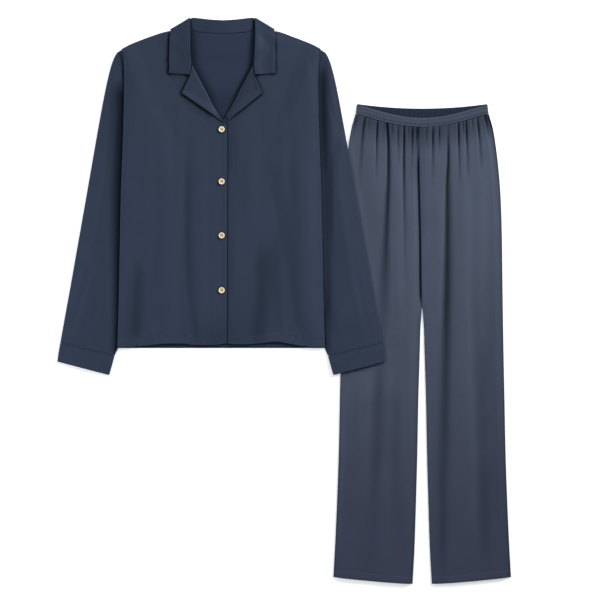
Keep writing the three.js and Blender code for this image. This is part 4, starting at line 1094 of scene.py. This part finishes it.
# Loose folds of the legs: share across at the top and at the hem, from and to below the seam, half
# width, height
legFolds = {
    "right": [(0.32, 0.30, 30, 560, 12, 1.6), (0.68, 0.62, 20, 930, 15, 1.8),
              (0.86, 0.84, 60, 420, 10, 1.0), (0.16, 0.12, 60, 700, 10, 1.2),
              (0.30, 0.29, 430, 880, 10, -0.6), (0.8, 0.86, 400, 900, 14, -0.8)],
    "left": [(0.22, 0.2, 30, 900, 12, 1.6), (0.52, 0.55, 20, 930, 14, 1.8),
             (0.74, 0.72, 60, 520, 12, 1.2), (0.66, 0.66, 300, 900, 14, -0.8),
             (0.8, 0.8, 250, 930, 18, -0.8), (0.78, 0.78, 500, 930, 10, 0.9)],
}
legLook = {
    "space": 2.3,               # between front and back at the seam
    "fuller": 2.9,              # more from 120 mm down
    "flatter": 1.2,             # less again at the hem
    "leastSpace": 0.1, "pressedSpace": 0.15,
    "fullGather": 2.3,          # depth from which a gather is fully shaded
    # painted light on the loose folds: their shade lessens as they rise
    "foldLight": 0.1,           # a loose fold's lightening for each millimetre of rise
    "strength": 0.93,           # most shade
    "underBand": 0.4, "belowBand": 0.08,        # shades within 60 and 170 mm of the seam
    "sideShade": 0.3,           # along the side seams
    "outerShade": 0.4,          # beside the left leg's side seam
    "innerShade": 0.3,          # beside the right leg's inner edge
    "centreShade": 0.28,        # beside the centre seam on the right leg, near the waist
    "pressedLight": 0.4,        # share of shade lost under the sleeve
    "hemBead": 0.7,
}
# The left sleeve's outer edge and its cuff's end on the right leg: a point (out, up), slope of the
# line through it, start of its ramp and length of the ramp
sleeveOnLeg = {"edge": (154.4, 907, 0.1744, 52, 46), "cuff": (73.6, 444, 0.257, 76, 70)}


# Top edge: its height at the sides less a sag that grows towards the centre as a power of a
# parabola
def sagging(line, reach, out):
    high, sag, power = trouserLines[line]
    return high - sag * (1 - np.minimum(1, out / reach) ** 2) ** power


def seamUp(out):
    return sagging("seam", seamHalf, out)


def bandTopUp(out):
    return sagging("bandTop", waistHalf, out)


def backTopUp(out):
    return sagging("backTop", waistHalf, out)


def backSeamUp(out):
    return backTopUp(out) - trouserLines["backBand"]


# Leg hem: a rise towards the side seam by a power of the distance from the inner edge
def hemUp(out):
    return trouserLines["hemRise"] * clamp((out - 20) / 157) ** 1.35


# How far the left sleeve presses the right leg flat: a ramp across its outer edge times a ramp
# across its cuff's end, both straight lines on the leg
def pressed(side, out, up):
    if side == "left":
        return 0 * out
    edgeOut, edgeUp, edgeSlope, edgeStart, edgeRamp = sleeveOnLeg["edge"]
    cuffOut, cuffUp, cuffSlope, cuffStart, cuffRamp = sleeveOnLeg["cuff"]
    sleeveEdge = -edgeOut + (edgeUp - up) * edgeSlope
    cuffEnd = cuffUp - (-cuffOut + out) * cuffSlope
    return smooth((sleeveEdge + edgeStart + out) / edgeRamp) * smooth((up - cuffEnd + cuffStart) / cuffRamp)


# Depth and shade of a leg's gathers: a bell across each, wider and fading over its reach below the
# seam, its place fanned out as the leg widens
def gathered(side, out, up, below):
    depth, shade = 0 * out, 0 * out
    fan = legOut(up) / seamHalf - 1
    for at, reach, deep, wide in gathers[side]:
        width = wide * (0.9 + 1.0 * smooth(below / 140))
        fade = clamp(1.25 - below / reach) ** 1.5
        offset = (out - at * (1 + fan * (at / seamHalf) ** 3)) / width
        depth = depth + deep * fade * bell(offset)
        dark = clamp(deep / legLook["fullGather"]) * fade * mix(0.5, 1, smooth((below + 2) / 24))
        shade = shade + dark * bell(offset / 0.85)
    return depth, shade


# Shade of the long seams: bells and ramps from each
def seamsideShade(side, out, up):
    beside = legOut(up) - out
    rim = legLook["sideShade"] * bell(beside / 2.4)
    if side == "left":
        return rim + legLook["outerShade"] * smooth(1 - beside / 24) * mix(0.5, 1, smooth((up - 690) / 150))
    rim = rim + legLook["innerShade"] * bell((out - legIn(up)) / 6) * smooth((548 - up) / 20)
    return rim + legLook["centreShade"] * bell(out / 18) * smooth((up - 780) / 60)


# Space between a leg's front and back: a low crown less the gathers and a bell across the long
# fold, plus a bell across each loose fold, and next to nothing where the sleeve presses on it. The
# second result is how shaded the cloth is: most in the gathers, the long fold and by the waistband.
def legPuff(side, share, out, up):
    look = legLook
    below = seamUp(out) - up
    puff = (look["space"] + look["fuller"] * smooth((below + 10) / 130)
            - look["flatter"] * smooth((below - 300) / 500))
    edge = smooth((out - legIn(up)) / 13) * smooth((legOut(up) - out) / 18)
    depth, shade = gathered(side, out, up, below)
    path, inner, outer, deep, dark = (column(up) for column in longFoldAt[side])
    offset = out - path
    offset = offset / np.where(offset < 0, inner, outer)
    depth = depth + deep * bell(offset)
    shade = shade + dark * bell(offset)
    for table in washAt[side]:
        path, wide, dark = (column(up) for column in table)
        shade = shade + dark * bell((out - path) / wide)
    for atTop, atHem, start, end, width, height in legFolds[side]:
        t = (below - start) / (end - start)
        path = mix(atTop, atHem, clamp(t))
        rise = height * bell((share - path) * legOut(up) / width) * smooth(t * 5) * smooth((1 - t) * 4)
        depth = depth - rise
        # painted light on a loose fold's rise
        shade = shade - look["foldLight"] * rise
    flat = pressed(side, out, up)
    space = np.maximum(look["leastSpace"], (puff - depth) * edge + look["leastSpace"])
    bandShade = (look["underBand"] * (1 - smooth(below / 60))
                 + look["belowBand"] * (1 - smooth(below / 170)))
    shade = clamp(look["strength"] * clamp(shade) + bandShade + seamsideShade(side, out, up))
    return mix(space, look["pressedSpace"], flat), shade * (1 - look["pressedLight"] * flat)


# Point of a leg from its share across and its level: the rows bend to the waist's sag over the top
# 160 mm and to the hem's rise over the lowest 90
def legPattern(side, share, level, topUp):
    x = mix(legIn(level), legOut(level), share)
    waist = topUp(x) - layout["seam"] - legTop
    up = level + waist * smooth(1 - (legTop - level) / 160) + hemUp(x) * smooth(1 - level / 90)
    return x, up


# The centre seam leans towards the wearer's right as it rises
seamLean = curveThrough([(0, 0), (540, 0), (560, -1.6), (590, -2.7), (690, -3.7), (770, -5.6), (830, -6.6),
                         (870, -6.2), (940, -4.8)])


# Shift of the cloth towards the centre seam, less with distance from it
def seamShift(out, up):
    return seamLean(up) * smooth(1 - out / 70)


usualLegWidth = 150         # mm, for spacing the columns


# Leg front: the back's wall plus the space between them plus the hem's stitching and bead, its
# rows closer towards the gathers. The centre seam is shaded from the crotch up, less at the waist.
def legFront(side):
    columnAt, columnFull = edgeStops(usualLegWidth, step=1.35)
    steps = np.concatenate([np.arange(half, 700, 5.2), np.arange(700, 860, 3.4),
                            np.arange(860, legTop - half, 1.9), [legTop - half]])
    rowAt, rowFull = edgeStops(legTop, middle=steps)
    share, level = np.meshgrid(columnAt, rowAt * legTop)
    out, up = legPattern(side, share, level, seamUp)
    space, shade = legPuff(side, share, out, up)
    under = layer + space + stitchedLine(level - trouserLines["hemDepth"], out,
                                         depth=0.3, pucker=0.2, pitch=13.0, spread=5.0)
    under = under + legLook["hemBead"] * bell((level - 4.5) / 3)
    bottom = pointsOf(sides[side] * out + seamShift(out, up), up, under)
    seamWide = 2.8 if side == "right" else 1.4
    seamShade = clamp(1.5 * bell((out - legIn(up)) / seamWide)) * smooth((up - 548) / 30)
    seamShade = seamShade * mix(1, 0.12, smooth((up - 815) / 75))
    return shell(f"legFrontCloth_{side}", bottom + [0, 0, wall], bottom, np.outer(rowFull, columnFull),
                 pointsOf(out, up), layout["trousersAt"], tone=clamp(shade + seamShade), insideSlot=1)


# Leg back: flat on the table
def legBack(side):
    columnAt, columnFull = edgeStops(usualLegWidth, step=5.0)
    rowAt, rowFull = edgeStops(legTop, step=8.0)
    share, level = np.meshgrid(columnAt, rowAt * legTop)
    out, up = legPattern(side, share, level, backSeamUp)
    bottom = pointsOf(sides[side] * out, up, 0)
    return shell(f"legBackCloth_{side}", bottom, bottom + [0, 0, wall], np.outer(rowFull, columnFull),
                 pointsOf(out, up), layout["trousersAt"], tone=0 * out, insideSlot=1)


# Waistband: a flattened elastic ring, front over back
bandLook = {
    "wall": 1.8,
    "height": 18,
    "frontGap": 0.8,
    "bulge": 1.3, "lowBulge": 0.5,          # above and below the lower stitches
    "wrinkle": 0.1,
    "ripple": 0.25,                         # inside the back
    "stitchAbove": 3.6, "stitchBelowTop": 3.0,
    "stitchDepth": 0.45, "topStitchDepth": 0.25,
    "marks": (-5, 9), "markDepth": 0.5,     # two short marks across the front
    "shade": 0.1, "stitchShade": 0.6, "topShade": 0.16, "ridgeShade": 0.2, "backShade": 0.42,
    "leftShade": 0.08,
}


# Shade of the band: bells at the lower stitches and at 12.6 mm, a ramp to the top and one towards
# the wearer's left
def bandShade(x, height, isBack):
    look = bandLook
    paintedShadeAndRim = look["stitchShade"] * bell((height - look["stitchAbove"]) / 0.9) + look["shade"]
    paintedShadeAndRim = paintedShadeAndRim + look["topShade"] * smooth((height - 9.5) / 4)
    paintedShadeAndRim = paintedShadeAndRim + look["ridgeShade"] * bell((height - 12.6) / 0.9)
    return mix(paintedShadeAndRim, look["backShade"], isBack) + look["leftShade"] * smooth(x / 110)


# Swell of the band's front: half sines above and below the lower stitches and wrinkles in sines of
# uneven pitch, all fading at the sides, less a bell for each row of stitches and each mark
def bandSwell(t, x, level):
    look = bandLook
    fade = 1 - t ** 8
    height = level * look["height"]
    bulge = look["bulge"] * np.sin(math.pi * clamp((height - 4.6) / 13.4)) ** 0.8
    bulge = bulge + look["lowBulge"] * np.sin(math.pi * clamp(height / 3.4))
    wrinkle = look["wrinkle"] * (np.sin(t * 97 + 3 * np.sin(t * 11 + level))
                                 + 0.6 * np.sin(t * 171 + 2 * level))
    swell = (bulge + wrinkle * (1.3 - level)) * fade
    for mark in look["marks"]:
        swell = swell - look["markDepth"] * bell((x - mark) / 1.3)
    grooves = (-look["stitchDepth"] * bell((height - look["stitchAbove"]) / 0.7)
               - look["topStitchDepth"] * bell((height - look["height"] + look["stitchBelowTop"]) / 0.7))
    return swell + grooves


# Height of the band's front at a share of its reach and a level: straight from the seam to its top
def bandUp(reachShare, level):
    return mix(seamUp(reachShare * seamHalf), bandTopUp(reachShare * waistHalf), level)


# The ring's rows run along the front, round a half circle, along the back and round again
def waistband():
    thick = bandLook["wall"] / 2
    backMiddle = thick
    frontMiddle = backMiddle + bandLook["wall"] + bandLook["frontGap"]
    turn = (frontMiddle - backMiddle) / 2
    levelAt, levelFull = edgeStops(bandLook["height"], step=1.2, thick=thick)
    level = levelAt[:, None]
    frontAt = np.linspace(-1, 1, 321)
    backAt = np.linspace(1, -1, 161)
    ends = np.radians(np.linspace(75, -75, 9))

    def ring(offset):
        reach = mix(seamHalf, waistHalf, level) - turn - thick
        t = frontAt[None, :]
        x = t * reach
        front = pointsOf(x, bandUp(np.abs(t), level), frontMiddle + bandSwell(t, x, level) + offset)
        t = backAt[None, :]
        backUp = mix(backSeamUp(np.abs(t) * waistHalf), backTopUp(np.abs(t) * waistHalf), level)
        ripple = bandLook["ripple"] * (1 + np.sin(t * 90 + 2 * np.sin(t * 13))) * (1 - t ** 8)
        back = pointsOf(t * reach, backUp, backMiddle - offset + (ripple if offset < 0 else 0))

        def end(sign, angles):
            lift = (1 + np.sin(angles))[None, :] / 2
            backEnd = mix(backSeamUp(waistHalf), backTopUp(waistHalf), level)
            return pointsOf(sign * (reach + (turn + offset) * np.cos(angles)),
                            mix(backEnd, bandUp(1, level), lift),
                            (frontMiddle + backMiddle) / 2 + (turn + offset) * np.sin(angles))
        return np.concatenate([front, end(1, ends), back, end(-1, ends[::-1])], axis=1)

    outer, inner = ring(thick), ring(-thick)
    middleRow = outer[len(outer) // 2]
    around = lengthAlong(np.concatenate([middleRow, middleRow[:1]]))
    height = level * bandLook["height"]
    isBack = np.zeros(outer.shape[1])
    isBack[len(frontAt) + len(ends):-len(ends)] = 1
    return shell("waistbandCloth", outer, inner, np.outer(levelFull, np.ones(outer.shape[1])),
                 pointsOf(around[None, :], height), layout["trousersAt"], ring=True,
                 tone=bandShade(outer[..., 0], height, isBack), insideSlot=1)


# It follows the centre seam from the crotch to the waist
def centreAllowance():
    up = np.linspace(552, 922, 60)
    edges = [pointsOf(seamShift(0, up) + reach, up, wall + 0.05) + [*layout["trousersAt"], 0]
             for reach in (-allowanceReach, allowanceReach)]
    # nearly full painted shade: the dark line down the centre seam
    return allowance("centreAllowance", *edges, thick=0.28, tone=0.95,
                     slotName="trouser_satin", satinMaterial=trouserSatin)


allowances = {"sleeve_right": cuffAllowance("right"), "sleeve_left": cuffAllowance("left"),
              "leg_front_right": centreAllowance()}
trouserCloth = ("trouser_satin", trouserSatin, trouserReverse)
trouserPieces = {"waistband": finishPiece(waistband(), "waistband", *trouserCloth)}
for side in sides:
    for node, build in ((f"leg_front_{side}", legFront), (f"leg_back_{side}", legBack)):
        trouserPieces[node] = finishPiece(build(side), node, *trouserCloth)
print("trousers made")

# Painted shade: how deep each point lies in the pile. A map of the pile's top is blurred by two
# Gaussians, and a point's painted shade is how far it lies below each, over a depth that counts as
# fully shaded.
paintedShadeLook = {"pitch": 1.5, "near": 2.2, "far": 7.0, "nearDepth": 1.5, "farDepth": 3.2,
              "nearShare": 0.76, "farShare": 0.55,
              "farSlack": 0.3,                  # depth below the far blur that stays unshaded
              "most": 0.92,
              "lean": (1.1, 0.8),               # mm towards the key light: edges shade more away from it
              "slight": {"leg_front_right": 0.3, "leg_front_left": 0.3, "shirt_back": 0.5}}
mapLow = np.array([-0.48, -0.6])
mapCells = np.ceil(np.array([0.96, 1.2]) / (paintedShadeLook["pitch"] * mm)).astype(int)


# Highest point in each cell of the map, from nine samples of every square
def pileTop(pieces):
    heights = np.zeros(mapCells)
    weights = [(1 - a) * np.array([1 - b, b, 0, 0]) + a * np.array([0, 0, b, 1 - b])
               for a in (0, 0.33, 0.67) for b in (0, 0.33, 0.67)]
    for piece in pieces:
        quads = meshPoints(piece.data)[meshCorners(piece.data)]
        for weight in weights:
            samples = np.einsum("k,ikj->ij", weight, quads)
            cell = ((samples[:, :2] - mapLow) / (paintedShadeLook["pitch"] * mm)).astype(int)
            np.maximum.at(heights, (cell[:, 0], cell[:, 1]), samples[:, 2] / mm)
    return heights


# The map under a Gaussian of this width in millimetres, by its Fourier transform
def blurred(heights, sigma):
    frequencies = np.meshgrid(np.fft.fftfreq(mapCells[0]), np.fft.rfftfreq(mapCells[1]), indexing="ij")
    spread = sigma / paintedShadeLook["pitch"]
    kernel = np.exp(-2 * (math.pi * spread) ** 2 * (frequencies[0] ** 2 + frequencies[1] ** 2))
    return np.fft.irfft2(np.fft.rfft2(heights) * kernel, s=tuple(mapCells))


# Height of the map at points, straight between its cells
def lookUp(heights, points):
    at = (points[:, :2] - mapLow) / (paintedShadeLook["pitch"] * mm) - 0.5
    cell = np.floor(at).astype(int)
    t = at - cell
    i, j = cell.T
    return (heights[i, j] * (1 - t[:, 0]) * (1 - t[:, 1]) + heights[i + 1, j] * t[:, 0] * (1 - t[:, 1])
            + heights[i, j + 1] * (1 - t[:, 0]) * t[:, 1] + heights[i + 1, j + 1] * t[:, 0] * t[:, 1])


# Discs (x, y, radius, top) stand in for the buttons. A piece keeps its own painted shade where that
# is deeper, and only faces that look up are shaded.
def shadeCreases(pieces, discs):
    look = paintedShadeLook
    top = pileTop(pieces.values())
    x, y = ((np.arange(count) + 0.5) * look["pitch"] + low / mm for count, low in zip(mapCells, mapLow))
    for centreX, centreY, radius, discTop in discs:
        under = np.hypot(x[:, None] - centreX, y[None, :] - centreY) < radius
        top[under] = np.maximum(top[under], discTop)
    near, far = blurred(top, look["near"]), blurred(top, look["far"])
    lean = np.array([*look["lean"], 0]) * mm
    for node, piece in pieces.items():
        points = meshPoints(piece.data)
        normals = np.empty(len(points) * 3, np.float32)
        piece.data.vertices.foreach_get("normal", normals)
        facesUp = smooth(normals.reshape(-1, 3)[:, 2] * 2)
        z = points[:, 2] / mm
        # looked up a little towards the key light, so that the painted shadows fall away from it
        belowNear = lookUp(near, points + lean) - z
        belowFar = lookUp(far, points + 2 * lean) - z - look["farSlack"]
        depth = (look["nearShare"] * clamp(belowNear / look["nearDepth"])
                 + look["farShare"] * clamp(belowFar / look["farDepth"]))
        depth = depth * look["slight"].get(node, 1)
        paintedShadeAndRim = piece.data.attributes["paintedShadeAndRim"].data
        own = np.empty(len(points), np.float32)
        paintedShadeAndRim.foreach_get("value", own)
        deepest = np.maximum(own, clamp(depth) * facesUp * look["most"])
        paintedShadeAndRim.foreach_set("value", deepest.astype(np.float32))


shadeCreases({**shirtPieces, **trouserPieces}, buttonDiscs)
print("creases shaded")


# Machine stitches on a piece: a path (x, y) is cut into equal stitches, each drawn as five points
# that lie on the cloth below them, found by a ray from above, and dip into it at both ends
stitchLook = {"length": 2.7, "pitch": 3.2, "radius": 0.22, "rise": 0.16}


def stitchRows(name, piece, paths, material, slotName):
    tree = BVHTree.FromPolygons(meshPoints(piece.data).tolist(), meshCorners(piece.data).tolist())
    t = np.linspace(0, 1, 5)
    strands = []
    for path in paths:
        along = lengthAlong(path)
        starts = np.arange(0, along[-1] - stitchLook["length"], stitchLook["pitch"])
        at = starts[:, None] + t * stitchLook["length"]
        x, y = np.interp(at, along, path[:, 0]), np.interp(at, along, path[:, 1])
        hits = [tree.ray_cast((a * mm, b * mm, 0.1), (0, 0, -1))[0] for a, b in zip(x.ravel(), y.ravel())]
        z = np.array([hit[2] / mm if hit else 0 for hit in hits]).reshape(x.shape)
        rise = stitchLook["rise"] * (1 - 2.4 * np.abs(2 * t - 1) ** 4)
        strands.append(pointsOf(x, y, z + rise)[(z > 0).all(axis=1)])
    return threadMesh(name, np.concatenate(strands), stitchLook["radius"], material, slotName,
                      sidesRound=4)


# Paths in the shared frame: along the shirt's hem, across a cuff at a share of its depth, along a
# leg's hem and along the waistband at a height
def shirtHemPath(side):
    out = np.linspace(openingOut[side](0) + 4, sideOut(0) - 3, 90)
    return pointsOf(across(side, out), hemRise[side](out) + frontLook["hemDepth"]) + layout["shirtAt"]


def cuffPath(side, share):
    first, last = np.array(sleeveLook["cuffs"][0]), np.array(sleeveLook["cuffs"][-1])
    outerOut, outerUp, innerOut, innerUp = mix(first, last, share)
    t = np.linspace(0.04, 0.96, 40)
    x = across(side, mix(outerOut, innerOut, t))
    return pointsOf(x, mix(outerUp, innerUp, t)) + layout["shirtAt"]


def legHemPath(side):
    out = np.linspace(trouserLines["inner"][0][1] + 3, legSide[0][1] - 3, 60)
    return pointsOf(sides[side] * out, hemUp(out) + trouserLines["hemDepth"]) + layout["trousersAt"]


def bandPath(height):
    t, level = np.linspace(-0.985, 0.985, 160), height / bandLook["height"]
    return pointsOf(t * mix(seamHalf, waistHalf, level), bandUp(np.abs(t), level)) + layout["trousersAt"]


for side in sides:
    stitchRows(f"hemStitches_{side}", shirtPieces[f"shirt_front_{side}"], [shirtHemPath(side)],
               shirtThread, "shirt_satin")
    stitchRows(f"cuffStitches_{side}", shirtPieces[f"cuff_{side}"],
               [cuffPath(side, sleeveLook[row]) for row in ("cuffSeam", "cuffTopstitch")],
               shirtThread, "shirt_satin")
    stitchRows(f"legHemStitches_{side}", trouserPieces[f"leg_front_{side}"], [legHemPath(side)],
               trouserThread, "trouser_satin")
stitchRows("waistStitches", trouserPieces["waistband"],
           [bandPath(bandLook["stitchAbove"]), bandPath(bandLook["height"] - bandLook["stitchBelowTop"])],
           trouserThread, "trouser_satin")
print("stitched")

# Cloth: for each piece, its count of triangles and half its surface in square metres, about the
# area of one face
clothPieces = {**shirtPieces, **trouserPieces}
for node, piece in clothPieces.items():
    mesh = piece.data
    areas = np.empty(len(mesh.polygons))
    mesh.polygons.foreach_get("area", areas)
    print("cloth", node, len(mesh.polygons) * 2, "triangles", round(areas.sum() / 2, 4), "m2")

# Table and light
tableReach, tableTop = 4, -0.0002
corners = [(x * tableReach, y * tableReach, tableTop) for x, y in ((-1, -1), (1, -1), (1, 1), (-1, 1))]
floorMesh = bpy.data.meshes.new("tableTop")
floorMesh.from_pydata(corners, [], [(0, 1, 2, 3)])
floor = bpy.data.objects.new("tableTop", floorMesh)
bpy.context.scene.collection.objects.link(floor)
floorMaterial = newMaterial("paintedTable", {               # lit from within, so that it is pure white
    "Base Color": toLinear("#f7f7f7"), "Roughness": 0.9, "Emission Color": toLinear("#ffffff"),
    "Emission Strength": 0.4})[0]
floorMesh.materials.append(floorMaterial)

aimedAt = np.array([0.03, 0.0, 0.0])
lightSet = [                    # name, place, size, power in watts, colour
    ("keyLight", (2.0, 1.7, 1.5), 1.0, 80, "#ffffff"),
    ("fillLight", (-2.4, 0.2, 1.9), 1.6, 40, "#eef3ff"),
    ("topLight", (0.0, 2.4, 2.7), 2.4, 14, "#ffffff"),
]
for name, at, size, watts, colour in lightSet:
    data = bpy.data.lights.new(name, "AREA")
    data.size, data.energy, data.color = size, watts, toLinear(colour)[:3]
    light = bpy.data.objects.new(name, data)
    light.location = at
    direction = aimedAt - np.array(at)
    light.rotation_euler = (math.acos(-direction[2] / np.linalg.norm(direction)), 0,
                            math.atan2(-direction[0], direction[1]))
    bpy.context.scene.collection.objects.link(light)
world = bpy.data.worlds.new("studio")
world.use_nodes = True
world.node_tree.nodes["Background"].inputs["Color"].default_value = toLinear("#f2f5fa")
world.node_tree.nodes["Background"].inputs["Strength"].default_value = 0.26
bpy.context.scene.world = world
bpy.context.scene.view_settings.view_transform = "Standard"
print("light set")
